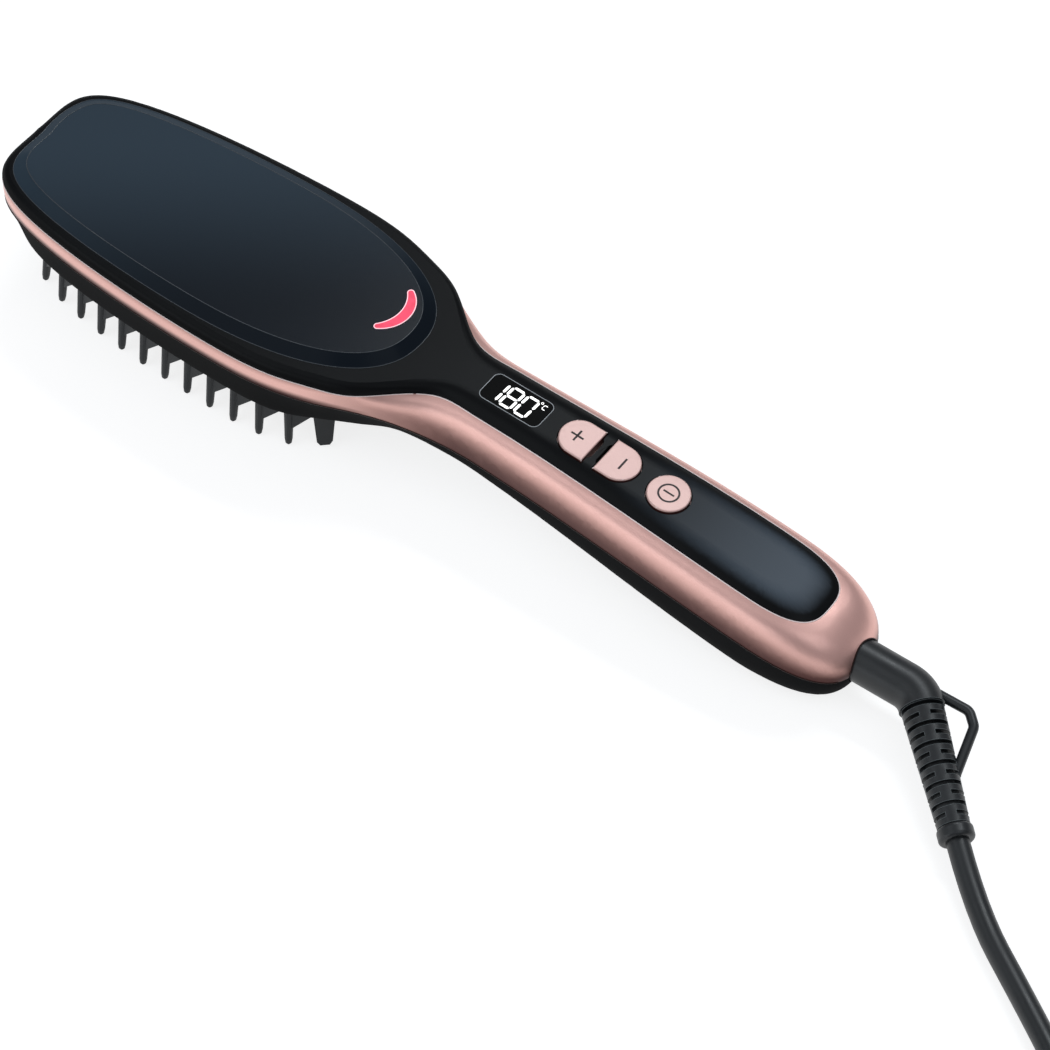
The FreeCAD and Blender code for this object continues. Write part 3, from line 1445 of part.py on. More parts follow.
def coil_point(turn):
    """A place on the coil, and its direction: in on the lower layer, a climb, out on the upper."""
    step = 0.0005

    def place(at):
        from_middle = (at - COIL_TURNS / 2) * 2 * math.pi
        quarter = math.pi / 2
        if abs(from_middle) < quarter:
            spread = from_middle ** 2 / math.pi + math.pi / 4
        else:
            spread = abs(from_middle)
        radius = size.coil_inner_radius + size.coil_pitch * spread / (2 * math.pi)
        climb = ease((from_middle + quarter) / math.pi)
        angle = math.radians(COIL_ENTRY_ANGLE) + at * 2 * math.pi
        height = cord_radius + size.coil_lift + size.coil_layer * climb
        return COIL_CENTRE + Vector(radius * math.cos(angle), radius * math.sin(angle), height)

    return place(turn), (place(turn + step) - place(turn - step)).normalize()


def arc_edge(start, direction, finish):
    """The arc that leaves start along direction and ends at finish."""
    chord = finish - start
    half = chord.Length / 2
    line = chord.normalize()
    side = (direction - line * direction.dot(line)).normalize()
    rise = half * math.tan(direction.getAngle(line) / 2)
    return Part.Arc(start, start + line * half + side * rise, finish).toShape()


def biarc(start, first, finish, last):
    """Two arcs with one tangent between two places with given directions."""
    span = finish - start
    both = span.dot(first + last)
    bend = 2 * (1 - first.dot(last))
    reach = (-both + math.sqrt(both * both + bend * span.dot(span))) / bend
    middle = (start + finish + (first - last) * reach) * 0.5
    heading = (finish - last * reach - (start + first * reach)).normalize()
    return [arc_edge(start, first, middle), arc_edge(middle, heading, finish)]


quarter_turns = [0.25 * i for i in range(int(COIL_TURNS * 4) + 1)] + [COIL_TURNS]
coil_places = [coil_point(turn) for turn in quarter_turns]
coil_entry = coil_places[0][0] - coil_places[0][1] * size.cord_diameter
coil_exit = coil_places[-1][0] + coil_places[-1][1] * size.cord_diameter


def cord_coil():
    """The length of cord that is put away: a flat coil of two layers, in and out again."""
    edges = [Part.LineSegment(coil_entry, coil_places[0][0]).toShape()]
    for (start, first), (finish, last) in zip(coil_places, coil_places[1:]):
        edges += biarc(start, first, finish, last)
    edges.append(Part.LineSegment(coil_places[-1][0], coil_exit).toShape())
    path = Part.Wire(edges)
    forward_at_entry = coil_places[0][1]
    side = forward_at_entry.cross(Vector(0, 0, 1)).normalize()
    corners = []
    for i in range(COIL_SIDES):
        angle = 2 * math.pi * (i + 0.5) / COIL_SIDES
        corners.append(coil_entry + side * (cord_radius * math.cos(angle))
                       + Vector(0, 0, cord_radius * math.sin(angle)))
    section = Part.makePolygon(corners + corners[:1])
    coil = path.makePipeShell([section], True, False)
    shape_part("cord_coil", coil)
    per_turn = 60
    count = int(COIL_TURNS * per_turn)
    samples = [coil_point(COIL_TURNS * i / count)[0] for i in range(count + 1)]
    least = min((samples[i] - samples[j]).Length for i in range(count) for j in range(i + per_turn // 2, count))
    print("coil: length", round(path.Length, 1), "least gap", round(least - size.cord_diameter, 2))
    return path.Length


def free_cord(label, points, direction):
    """A free stretch of the cord, with its bends and its volume printed."""
    path, radii = round_path(points)
    stretch = tube(path, cord_radius, direction)
    shape_part(label, stretch)
    plain = math.pi * cord_radius ** 2 * path.Length
    print(label, "length", round(path.Length, 1), "radii", [round(r) for r in radii],
          "volume share", round(stretch.Volume / plain, 4))
    print("   ", [tuple(round(c, 2) for c in point) for point in points])
    return path.Length


def cord():
    """The cord from the sleeve to the plug, in three stretches."""
    heading_in, heading_out = coil_places[0][1], coil_places[-1][1]
    route = [sleeve_end, sleeve_end + sleeve_axis * CORD_END_RUN, CORD_MIDDLE,
             coil_entry - heading_in * CORD_END_RUN, coil_entry]
    lengths = [free_cord("power_cord", route, sleeve_axis)]
    lengths.append(cord_coil())
    route = [coil_exit, coil_exit + heading_out * TAIL_START_RUN, TAIL_BEND, PLUG_INLET]
    lengths.append(free_cord("cord_tail", route, heading_out))
    print("cord: whole length", round(sum(lengths), 1))


def cord_tie():
    """The strap round the coil's turns."""
    bend = math.radians(90 - COIL_ENTRY_ANGLE)
    turns_out = size.coil_pitch * COIL_TURNS / 2
    half = cord_radius + size.tie_gap
    near = COIL_CENTRE.y + size.coil_inner_radius - half
    far = COIL_CENTRE.y + size.coil_inner_radius + turns_out + half + size.coil_pitch * math.cos(bend) / 2
    low = size.coil_lift - size.tie_gap / 3
    high = size.coil_lift + 2 * cord_radius + size.coil_layer + size.tie_gap
    x = COIL_CENTRE.x
    wide = size.tie_width / 2
    thick = size.tie_thickness
    strap = block(x - wide, x + wide, near - thick, far + thick, low - thick, high + thick)
    strap = strap.cut(block(x - wide - CLEAR_CUT, x + wide + CLEAR_CUT, near, far, low, high))
    shape_part("cord_tie", strap)


def plug():
    """The flat two-pin plug."""
    inlet = PLUG_INLET
    start, middle, finish = (inlet.y, inlet.y + size.plug_neck_length, inlet.y + size.plug_length)
    neck_part = Part.makeCone(size.plug_neck_radius, size.plug_neck_end_radius, size.plug_neck_length,
                              Vector(inlet.x, start, inlet.z), Vector(0, 1, 0))
    half, thick = size.plug_width / 2, size.plug_thickness / 2
    shoulder = size.plug_shoulder_width / 2
    sunk = middle - size.plug_neck_sunk
    full = middle + size.plug_shoulder_length
    outline = [Vector(inlet.x - shoulder, sunk, inlet.z - thick),
               Vector(inlet.x + shoulder, sunk, inlet.z - thick),
               Vector(inlet.x + half, full, inlet.z - thick),
               Vector(inlet.x + half, finish, inlet.z - thick),
               Vector(inlet.x - half, finish, inlet.z - thick),
               Vector(inlet.x - half, full, inlet.z - thick)]
    slab = Part.Face(Part.makePolygon(outline + outline[:1])).extrude(Vector(0, 0, size.plug_thickness))
    soft = [edge for edge in slab.Edges if not vertical(edge) and edge.CenterOfMass.y < finish - TOUCH]
    slab = slab.makeFillet(size.plug_round, soft)
    shape_part("plug_body", neck_part.fuse(slab))
    pins = []
    for side in (-0.5, 0.5):
        pin = cylinder("plug_pin", "sizes.pin_diameter / 2", "sizes.pin_length")
        pin.Placement = Placement(Vector(inlet.x + side * size.pin_spacing, finish, inlet.z),
                                  Rotation(Vector(1, 0, 0), -90))
        pins.append(pin)
    keep("plug_pins", group("plug_pins", *pins))


def build():
    """Make every sub-part."""
    upper_shell()
    trim_band()
    lower_shell()
    back_panel()
    indicator()
    display()
    buttons()
    control_board()
    guard_comb()
    heater_plate()
    cool_tips()
    heater_stack()
    heat_shield()
    housing_screws()
    swivel()
    strain_relief()
    cord()
    cord_tie()
    plug()
    doc.recompute()


def check_and_write():
    """Stop on any failed object or bad shape, then write each sub-part to its own file."""
    for thing in doc.Objects:
        if "Invalid" in thing.State or "Error" in thing.State:
            raise RuntimeError(f"{thing.Name} failed: {thing.State}")
    for label, thing in parts.items():
        if thing.Shape.isNull() or not thing.Shape.isValid():
            raise RuntimeError(f"{label} has a bad shape")
    os.makedirs("parts", exist_ok=True)
    for label, thing in parts.items():
        thing.Shape.exportStep(f"parts/{label}.step")
        print(label, "solids", len(thing.Shape.Solids), "volume", round(thing.Shape.Volume, 1))


build()
check_and_write()
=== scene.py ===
"""Looks of the hair straightening brush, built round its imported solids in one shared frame, in metres."""

import json
import logging
import math
from dataclasses import dataclass, field
from enum import Enum

import bpy
from mathutils import Matrix, Vector

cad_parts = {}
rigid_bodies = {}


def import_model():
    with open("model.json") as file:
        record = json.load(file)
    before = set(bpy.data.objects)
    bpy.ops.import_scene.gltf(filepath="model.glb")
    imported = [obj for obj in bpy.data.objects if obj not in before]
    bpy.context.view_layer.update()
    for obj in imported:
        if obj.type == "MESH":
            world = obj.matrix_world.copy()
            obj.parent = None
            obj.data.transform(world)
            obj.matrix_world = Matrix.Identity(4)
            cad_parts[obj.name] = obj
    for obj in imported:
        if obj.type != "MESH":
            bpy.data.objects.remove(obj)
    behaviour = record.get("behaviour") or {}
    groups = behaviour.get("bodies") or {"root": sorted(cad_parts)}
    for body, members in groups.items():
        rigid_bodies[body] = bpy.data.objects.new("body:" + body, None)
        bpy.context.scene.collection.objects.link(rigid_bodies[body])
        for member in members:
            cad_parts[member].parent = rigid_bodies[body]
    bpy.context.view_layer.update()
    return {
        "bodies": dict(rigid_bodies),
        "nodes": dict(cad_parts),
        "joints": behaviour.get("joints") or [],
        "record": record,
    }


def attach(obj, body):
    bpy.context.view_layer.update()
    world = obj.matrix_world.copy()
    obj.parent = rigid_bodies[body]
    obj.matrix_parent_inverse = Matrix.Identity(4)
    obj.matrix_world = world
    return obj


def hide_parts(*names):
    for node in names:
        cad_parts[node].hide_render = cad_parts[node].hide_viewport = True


Pair = tuple[float, float]
Triple = tuple[float, float, float]
Colour = tuple[float, float, float, float]
Socket = bpy.types.NodeSocket
Nodes = dict[str, bpy.types.Object]

log = logging.getLogger("brush")
MM = 0.001
IMAGE_SIDE = 1050
QUARTER_TURN = math.pi / 2
UP = (0.0, 0.0, 1.0)
WHITE = (1.0, 1.0, 1.0, 1.0)
MIX_SHARE, MIX_FIRST, MIX_SECOND, MIX_RESULT = 0, 6, 7, 2
SEGMENTS = {"0": "abcdef", "1": "bc", "8": "abcdefg", "C": "adef"}


class Body(Enum):
    """The rigid bodies that pieces ride on."""

    HOUSING = "housing"
    PLUS = "plus_key"
    MINUS = "minus_key"
    POWER = "power_key"
    CORD = "cord_set"


class Graph:
    """A short way to add and join nodes in one node tree."""

    def __init__(self, tree: bpy.types.NodeTree) -> None:
        """Take the tree that the nodes go into.

        Args:
            tree: A material's or a group's node tree.
        """
        self.tree = tree

    def add(self, kind: str, **settings: object) -> bpy.types.Node:
        """Add a node and set its plain attributes.

        Args:
            kind: The node's type name.
            settings: Attributes of the node, by name.

        Returns:
            The new node.
        """
        node = self.tree.nodes.new(kind)
        for name, value in settings.items():
            setattr(node, name, value)
        return node

    def feed(self, value: object, target: Socket) -> None:
        """Link a socket to another, or set its plain value.

        Args:
            value: A socket, or a number, vector or colour.
            target: The socket that gets it.
        """
        if isinstance(value, Socket):
            self.tree.links.new(value, target)
        else:
            target.default_value = value

    def place(self) -> Socket:
        """Give the object's own coordinates."""
        return self.add("ShaderNodeTexCoord").outputs["Object"]

    def texture(self, kind: str, scale: object, **settings: object) -> bpy.types.Node:
        """Add a texture on the object's own coordinates.

        Args:
            kind: The texture node's type name.
            scale: Features per metre, a socket or a number.
            settings: Attributes of the node, by name.

        Returns:
            The texture node.
        """
        node = self.add(kind, **settings)
        self.feed(scale, node.inputs["Scale"])
        self.feed(self.place(), node.inputs["Vector"])
        return node

    def noise(self, scale: object, detail: float) -> Socket:
        """Add noise on the object's own coordinates.

        Args:
            scale: Features per metre, a socket or a number.
            detail: Octaves of finer noise.

        Returns:
            The noise.
        """
        node = self.texture("ShaderNodeTexNoise", scale)
        node.inputs["Detail"].default_value = detail
        return node.outputs["Fac"]

    def streaks(self, stretch: Triple, detail: float, turn: float = 0.0) -> Socket:
        """Add noise that is drawn out into lines.

        Args:
            stretch: Features per metre along each axis.
            detail: Octaves of finer noise.
            turn: Turn of the lines about Z, in radians.

        Returns:
            The noise.
        """
        mapping = self.add("ShaderNodeMapping")
        mapping.inputs["Scale"].default_value = stretch
        mapping.inputs["Rotation"].default_value = (0.0, 0.0, turn)
        self.feed(self.place(), mapping.inputs["Vector"])
        node = self.add("ShaderNodeTexNoise")
        node.inputs["Scale"].default_value = 1.0
        node.inputs["Detail"].default_value = detail
        self.feed(mapping.outputs["Vector"], node.inputs["Vector"])
        return node.outputs["Fac"]

    def spread(self, value: Socket, low: object, high: object, start: object = 0.0, finish: object = 1.0,
               shape: str = "LINEAR") -> Socket:
        """Map a value from one span to another, clamped. Each end is a socket or a number.

        Args:
            value: What is mapped.
            low: Start of the span that comes in.
            high: End of the span that comes in.
            start: Start of the span that goes out.
            finish: End of the span that goes out.
            shape: How it goes from end to end.

        Returns:
            The mapped value.
        """
        node = self.add("ShaderNodeMapRange", interpolation_type=shape)
        self.feed(value, node.inputs["Value"])
        for name, end in (("From Min", low), ("From Max", high), ("To Min", start), ("To Max", finish)):
            self.feed(end, node.inputs[name])
        return node.outputs["Result"]

    def blend(self, share: Socket, first: object, second: object) -> Socket:
        """Mix two colours, each a socket or four numbers.

        Args:
            share: How much of the second colour.
            first: The first colour.
            second: The second colour.

        Returns:
            The mixed colour.
        """
        node = self.add("ShaderNodeMix", data_type="RGBA")
        for value, i in ((share, MIX_SHARE), (first, MIX_FIRST), (second, MIX_SECOND)):
            self.feed(value, node.inputs[i])
        return node.outputs[MIX_RESULT]

    def reckon(self, operation: str, first: object, second: object) -> Socket:
        """Do arithmetic on two values, each a socket or a number.

        Args:
            operation: The Math node's operation.
            first: The first value.
            second: The second value.

        Returns:
            The result.
        """
        node = self.add("ShaderNodeMath", operation=operation)
        for value, socket in zip((first, second), node.inputs):
            self.feed(value, socket)
        return node.outputs["Value"]

    def rest(self, mask: Socket) -> Socket:
        """Turn a mask round, so that 1 becomes 0."""
        return self.reckon("SUBTRACT", 1.0, mask)


@dataclass
class EffectLibrary:
    """The node groups that several finishes share, each built once."""

    pit_scale: float = 0.6
    pit_share: float = 0.5
    broad_scale: float = 90.0
    broad_span: Pair = (0.3, 0.7)
    smudge_span: Pair = (0.42, 0.72)
    scuff_lines: Triple = (18.0, 900.0, 300.0)
    scuff_turn: float = 0.35
    scuff_span: Pair = (0.74, 0.8)

    def __post_init__(self) -> None:
        """Build the groups."""
        self.grain = self._grain()
        self.handling = self._handling()
        self.flakes = self._flakes()
        self.facing = self._facing()
        self.slope = self._slope()

    @staticmethod
    def _group(name: str, inputs: dict[str, float], outputs: tuple[str, ...]) -> tuple:
        """Start a node group of values.

        Args:
            name: The group's name.
            inputs: Its inputs with their defaults.
            outputs: Its outputs.

        Returns:
            The tree, its graph, and the sockets that bring its inputs and take its outputs.
        """
        tree = bpy.data.node_groups.new(name, "ShaderNodeTree")
        for label, default in inputs.items():
            socket = tree.interface.new_socket(label, in_out="INPUT", socket_type="NodeSocketFloat")
            socket.default_value = default
        for label in outputs:
            tree.interface.new_socket(label, in_out="OUTPUT", socket_type="NodeSocketFloat")
        graph = Graph(tree)
        return tree, graph, graph.add("NodeGroupInput").outputs, graph.add("NodeGroupOutput").inputs

    def _grain(self) -> bpy.types.NodeTree:
        """Build the fine spark-eroded grain of moulded plastic: a height and a roughness.

        Returns:
            The group.
        """
        tree, graph, ins, outs = self._group(
            "moulded_grain", {"Scale": 2500.0, "Rough Low": 0.3, "Rough High": 0.4}, ("Height", "Roughness"))
        pit_scale = graph.reckon("MULTIPLY", ins["Scale"], self.pit_scale)
        pits = graph.texture("ShaderNodeTexVoronoi", pit_scale, feature="SMOOTH_F1")
        pitted = graph.reckon("MULTIPLY", pits.outputs["Distance"], self.pit_share)
        graph.feed(graph.reckon("ADD", graph.noise(ins["Scale"], detail=2.0), pitted), outs["Height"])
        broad = graph.noise(self.broad_scale, detail=4.0)
        rough = graph.spread(broad, *self.broad_span, ins["Rough Low"], ins["Rough High"])
        graph.feed(rough, outs["Roughness"])
        return tree

    def _handling(self) -> bpy.types.NodeTree:
        """Build faint marks of handling: a mask of soft smudges and one of a few hairline scuffs.

        Returns:
            The group.
        """
        tree, graph, ins, outs = self._group("handling_marks", {"Scale": 40.0}, ("Smudge", "Scuff"))
        cloud = graph.noise(ins["Scale"], detail=5.0)
        graph.feed(graph.spread(cloud, *self.smudge_span), outs["Smudge"])
        lines = graph.streaks(self.scuff_lines, detail=1.0, turn=self.scuff_turn)
        graph.feed(graph.spread(lines, *self.scuff_span), outs["Scuff"])
        return tree

    def _flakes(self) -> bpy.types.NodeTree:
        """Build the tiny flakes of a metallic coat: a brightness mask and a height.

        Returns:
            The group.
        """
        tree, graph, ins, outs = self._group("metal_flakes", {"Scale": 9000.0}, ("Glint", "Height"))
        cells = graph.texture("ShaderNodeTexVoronoi", ins["Scale"])
        shade = graph.add("ShaderNodeSeparateColor")
        graph.feed(cells.outputs["Color"], shade.inputs["Color"])
        graph.feed(shade.outputs["Red"], outs["Glint"])
        graph.feed(shade.outputs["Green"], outs["Height"])
        return tree

    def _facing(self) -> bpy.types.NodeTree:
        """Build a mask of how far a surface faces up, between two heights of its normal.

        Returns:
            The group.
        """
        tree, graph, ins, outs = self._group("upward_facing", {"Low": 0.0, "High": 1.0}, ("Mask",))
        parts = graph.add("ShaderNodeSeparateXYZ")
        graph.feed(graph.add("ShaderNodeNewGeometry").outputs["Normal"], parts.inputs["Vector"])
        mask = graph.spread(parts.outputs["Z"], ins["Low"], ins["High"], shape="SMOOTHSTEP")
        graph.feed(mask, outs["Mask"])
        return tree

    def _slope(self) -> bpy.types.NodeTree:
        """Build a slow change over a piece, along a direction that is given by its three shares.

        Returns:
            The group.
        """
        inputs = {"Start": 0.0, "Finish": 1.0, "Lean X": 1.0, "Lean Y": 0.0, "Lean Z": 0.0}
        tree, graph, ins, outs = self._group("slow_slope", inputs, ("Mask",))
        lean = graph.add("ShaderNodeCombineXYZ")
        for axis in "XYZ":
            graph.feed(ins[f"Lean {axis}"], lean.inputs[axis])
        along = graph.add("ShaderNodeVectorMath", operation="DOT_PRODUCT")
        graph.feed(graph.place(), along.inputs[0])
        graph.feed(lean.outputs["Vector"], along.inputs[1])
        mask = graph.spread(along.outputs["Value"], ins["Start"], ins["Finish"], shape="SMOOTHSTEP")
        graph.feed(mask, outs["Mask"])
        return tree


class Paint(Graph):
    """A new material: its graph, its Principled shader and the shared effects."""

    def __init__(self, name: str, effects: EffectLibrary | None = None) -> None:
        """Make the material.

        Args:
            name: Its name.
            effects: The shared effects, where it uses them.
        """
        self.material = bpy.data.materials.new(name)
        self.material.use_nodes = True
        super().__init__(self.material.node_tree)
        self.shader = self.tree.nodes["Principled BSDF"]
        self.effects = effects

    def shade(self, **values: object) -> None:
        """Feed the shader.

        Args:
            values: Sockets or plain values by the input's name, with _ for a space.
        """
        for name, value in values.items():
            self.feed(value, self.shader.inputs[name.replace("_", " ")])

    def use(self, effect: bpy.types.NodeTree, **values: float) -> bpy.types.bpy_prop_collection:
        """Place a shared effect in the material.

        Args:
            effect: The effect.
            values: Its inputs, with _ for a space.

        Returns:
            Its outputs.
        """
        node = self.add("ShaderNodeGroup", node_tree=effect)
        for name, value in values.items():
            node.inputs[name.replace("_", " ")].default_value = value
        return node.outputs

    def facing(self, span: Pair) -> Socket:
        """Give the mask that rises between two heights of the surface's normal."""
        return self.use(self.effects.facing, Low=span[0], High=span[1])["Mask"]

    def slope(self, span: Pair, lean: Triple = (1.0, 0.0, 0.0)) -> Socket:
        """Give the mask that rises between two places, in metres along a direction."""
        return self.use(self.effects.slope, Start=span[0], Finish=span[1], Lean_X=lean[0], Lean_Y=lean[1],
                        Lean_Z=lean[2])["Mask"]

    def bump(self, height: Socket, depth: float) -> None:
        """Feed a height to the shader's normal.

        Args:
            height: The height.
            depth: How far a height of 1 stands out, in metres.
        """
        node = self.add("ShaderNodeBump")
        node.inputs["Strength"].default_value = 1.0
        node.inputs["Distance"].default_value = depth
        self.feed(height, node.inputs["Height"])
        self.shade(Normal=node.outputs["Normal"])


@dataclass(frozen=True)
class Finish:
    """What every finish has: a name, a colour and a roughness span."""

    name: str
    colour: Colour
    rough: Pair = (0.35, 0.45)

    def apply(self, paint: Paint) -> None:
        """Feed the shader; each kind of finish does this its own way."""
        raise NotImplementedError

    def scaled(self, share: float) -> Colour:
        """Give the finish's colour, made darker or paler by a share."""
        return *(share * part for part in self.colour[:3]), 1.0

    def build(self, effects: EffectLibrary) -> bpy.types.Material:
        """Build the material.

        Args:
            effects: The shared effects.

        Returns:
            The material.
        """
        paint = Paint(self.name, effects)
        paint.material.diffuse_color = self.colour
        paint.shade(Base_Color=self.colour)
        self.apply(paint)
        return paint.material


@dataclass(frozen=True)
class MouldedPlastic(Finish):
    """Satin or matt moulded plastic with a fine grain and faint marks of handling, and, where one is given, a
    painted highlight.
    """

    grain: float = 2600.0
    depth: float = 2.0e-6
    tint: Colour = (0.03, 0.035, 0.045, 1.0)
    sheen: float = 0.5
    marks: float = 45.0
    smudge: float = 0.5
    scuff: float = 0.08
    coat: Pair = (0.0, 0.0)
    coat_rough: float = 0.38
    coat_level: Pair = (0.2, 0.8)
    painted_highlight: Colour | None = None
    painted_highlight_span: Pair = (0.06, 0.135)
    painted_highlight_level: Pair = (0.88, 0.985)

    def apply(self, paint: Paint) -> None:
        """Feed the shader.

        Args:
            paint: The material.
        """
        grain = paint.use(paint.effects.grain, Scale=self.grain, Rough_Low=self.rough[0],
                          Rough_High=self.rough[1])
        marks = paint.use(paint.effects.handling, Scale=self.marks)
        colour = paint.blend(paint.reckon("MULTIPLY", marks["Smudge"], self.smudge), self.colour, self.tint)
        # Painted highlight: a paler colour blended in where the surface faces up, rising towards the handle's
        # end.
        if self.painted_highlight:
            painted_highlight = paint.reckon("MULTIPLY", paint.slope(self.painted_highlight_span), paint.facing(self.painted_highlight_level))
            colour = paint.blend(painted_highlight, colour, self.painted_highlight)
        worn = paint.reckon("MULTIPLY", marks["Scuff"], self.scuff)
        paint.shade(Base_Color=colour, Roughness=paint.reckon("ADD", grain["Roughness"], worn),
                    Specular_IOR_Level=self.sheen, Coat_Roughness=self.coat_rough)
        # Painted shade: the coat is weaker where the surface turns from up to the side or down, so those
        # faces reflect less and look darker.
        if self.coat[1] > 0:
            paint.shade(Coat_Weight=paint.spread(paint.facing(self.coat_level), 0.0, 1.0, *self.coat))
        paint.bump(grain["Height"], self.depth)


@dataclass(frozen=True)
class MetallicCoat(Finish):
    """A satin metallic coat of fine flakes on a moulding, with painted shade: darker where the handle's band
    faces down, and at the foot and in part the crown of the band on the head.
    """

    deep: Colour = (0.4, 0.2, 0.17, 1.0)
    # Painted shade: the shadow colour, and the spans below that place it on the handle's downward faces and
    # on the head's foot and crown.
    shadow: Colour = (0.1, 0.03, 0.025, 1.0)
    clear_level: Pair = (-0.02, 0.5)
    shaded_from: Pair = (-0.03, 0.02)
    head_foot: Pair = (0.0302, 0.0328)
    head_crown: Pair = (0.0338, 0.037)
    crown_shade: float = 0.6
    flake: float = 9000.0
    glint: float = 0.25
    depth: float = 1.2e-6
    marks: float = 30.0
    smudge: float = 0.05
    metal: float = 0.85
    coat: float = 0.05
    coat_rough: float = 0.15

    def apply(self, paint: Paint) -> None:
        """Feed the shader.

        Args:
            paint: The material.
        """
        flakes = paint.use(paint.effects.flakes, Scale=self.flake)
        marks = paint.use(paint.effects.handling, Scale=self.marks)
        share = paint.spread(flakes["Glint"], 0.0, 1.0, finish=self.glint)
        speckled = paint.blend(share, self.colour, self.deep)
        # Painted shade: the colour goes to the shadow colour where the handle's band faces down, and on the
        # head towards the band's foot and, at a share, its crown.
        handle = paint.slope(self.shaded_from)
        handle_painted_shade = paint.reckon("MULTIPLY", paint.rest(paint.facing(self.clear_level)), handle)
        crown_painted_shade = paint.reckon("MULTIPLY", paint.slope(self.head_crown, UP), self.crown_shade)
        head_painted_shade = paint.reckon("MAXIMUM", paint.rest(paint.slope(self.head_foot, UP)), crown_painted_shade)
        dark = paint.reckon("MAXIMUM", handle_painted_shade, paint.reckon("MULTIPLY", head_painted_shade, paint.rest(handle)))
        rough = paint.spread(flakes["Glint"], 0.0, 1.0, *self.rough)
        worn = paint.reckon("MULTIPLY", marks["Smudge"], self.smudge)
        paint.shade(Base_Color=paint.blend(dark, speckled, self.shadow),
                    Roughness=paint.reckon("ADD", rough, worn), Metallic=self.metal,
                    Coat_Weight=self.coat, Coat_Roughness=self.coat_rough)
        paint.bump(flakes["Height"], self.depth)


@dataclass(frozen=True)
class GlossPanelCoat(Finish):
    """Deep gloss with the softest ripple and hairline scuffs, a painted reflection that changes slowly from
    its colour to the tint across the piece, and painted shade as a weaker coat on its slanted rim.
    """

    tint: Colour = (0.02, 0.026, 0.034, 1.0)
    lean: Triple = (-0.59, 0.81, 0.0)
    span: Pair = (0.01, 0.078)
    coat: float = 0.6
    coat_rough: float = 0.17
    rim_share: float = 0.25
    flat_level: Pair = (0.9, 0.99)
    marks: float = 22.0
    scuff: float = 0.1
    ripple: float = 60.0
    depth: float = 4.0e-6

    def apply(self, paint: Paint) -> None:
        """Feed the shader.

        Args:
            paint: The material.
        """
        marks = paint.use(paint.effects.handling, Scale=self.marks)
        rough = paint.spread(marks["Smudge"], 0.0, 1.0, *self.rough)
        worn = paint.reckon("MULTIPLY", marks["Scuff"], self.scuff)
        rim_coat = self.coat * self.rim_share
        # Painted reflection: the base colour goes slowly from the colour to the tint along the lean. Painted
        # shade: the coat is weaker on the slanted rim.
        paint.shade(Base_Color=paint.blend(paint.slope(self.span, self.lean), self.colour, self.tint),
                    Coat_Weight=paint.spread(paint.facing(self.flat_level), 0.0, 1.0, rim_coat, self.coat),
                    Coat_Roughness=self.coat_rough, Specular_IOR_Level=0.0,
                    Roughness=paint.reckon("ADD", rough, worn))
        paint.bump(paint.noise(self.ripple, detail=1.0), self.depth)


@dataclass(frozen=True)
class LitPlastic(Finish):
    """Translucent plastic or print with a light of its own, paler in soft patches."""

    glow: Colour = WHITE
    pale: Colour = WHITE
    strength: float = 1.0
    speckle: float = 400.0
    span: Pair = (0.3, 0.75)

    def apply(self, paint: Paint) -> None:
        """Feed the shader.

        Args:
            paint: The material.
        """
        share = paint.spread(paint.noise(self.speckle, detail=2.0), *self.span)
        paint.shade(Emission_Color=paint.blend(share, self.glow, self.pale), Emission_Strength=self.strength,
                    Roughness=self.rough[0])


@dataclass(frozen=True)
class BareMetal(Finish):
    """Turned, rolled or plated metal with fine tool lines."""

    lines: Triple = (300.0, 4000.0, 4000.0)
    span: Pair = (0.3, 0.7)
    darker: float = 0.7
    depth: float = 1.0e-6

    def apply(self, paint: Paint) -> None:
        """Feed the shader.

        Args:
            paint: The material.
        """
        lines = paint.streaks(self.lines, detail=2.0)
        paint.shade(Base_Color=paint.blend(lines, self.colour, self.scaled(self.darker)), Metallic=1.0,
                    Roughness=paint.spread(lines, *self.span, *self.rough))
        paint.bump(lines, self.depth)


@dataclass(frozen=True)
class CircuitBoard(Finish):
    """Green solder mask with a faint pattern of tracks."""

    track: Colour = (0.09, 0.32, 0.16, 1.0)
    pitch: float = 350.0
    track_edge: Pair = (0.06, 0.1)
    depth: float = 2.0e-5

    def apply(self, paint: Paint) -> None:
        """Feed the shader.

        Args:
            paint: The material.
        """
        tracks = paint.texture("ShaderNodeTexVoronoi", self.pitch, distance="CHEBYCHEV",
                               feature="DISTANCE_TO_EDGE")
        share = paint.spread(tracks.outputs["Distance"], *self.track_edge)
        paint.shade(Base_Color=paint.blend(share, self.track, self.colour), Roughness=self.rough[0])
        paint.bump(share, self.depth)


@dataclass(frozen=True)
class Weave(Finish):
    """A woven strap."""

    pitch: float = 1500.0
    paler: float = 1.8
    depth: float = 1.0e-4

    def apply(self, paint: Paint) -> None:
        """Feed the shader.

        Args:
            paint: The material.
        """
        checks = paint.texture("ShaderNodeTexChecker", self.pitch).outputs["Fac"]
        paint.shade(Base_Color=paint.blend(checks, self.colour, self.scaled(self.paler)),
                    Roughness=paint.spread(checks, 0.0, 1.0, *self.rough))
        paint.bump(checks, self.depth)


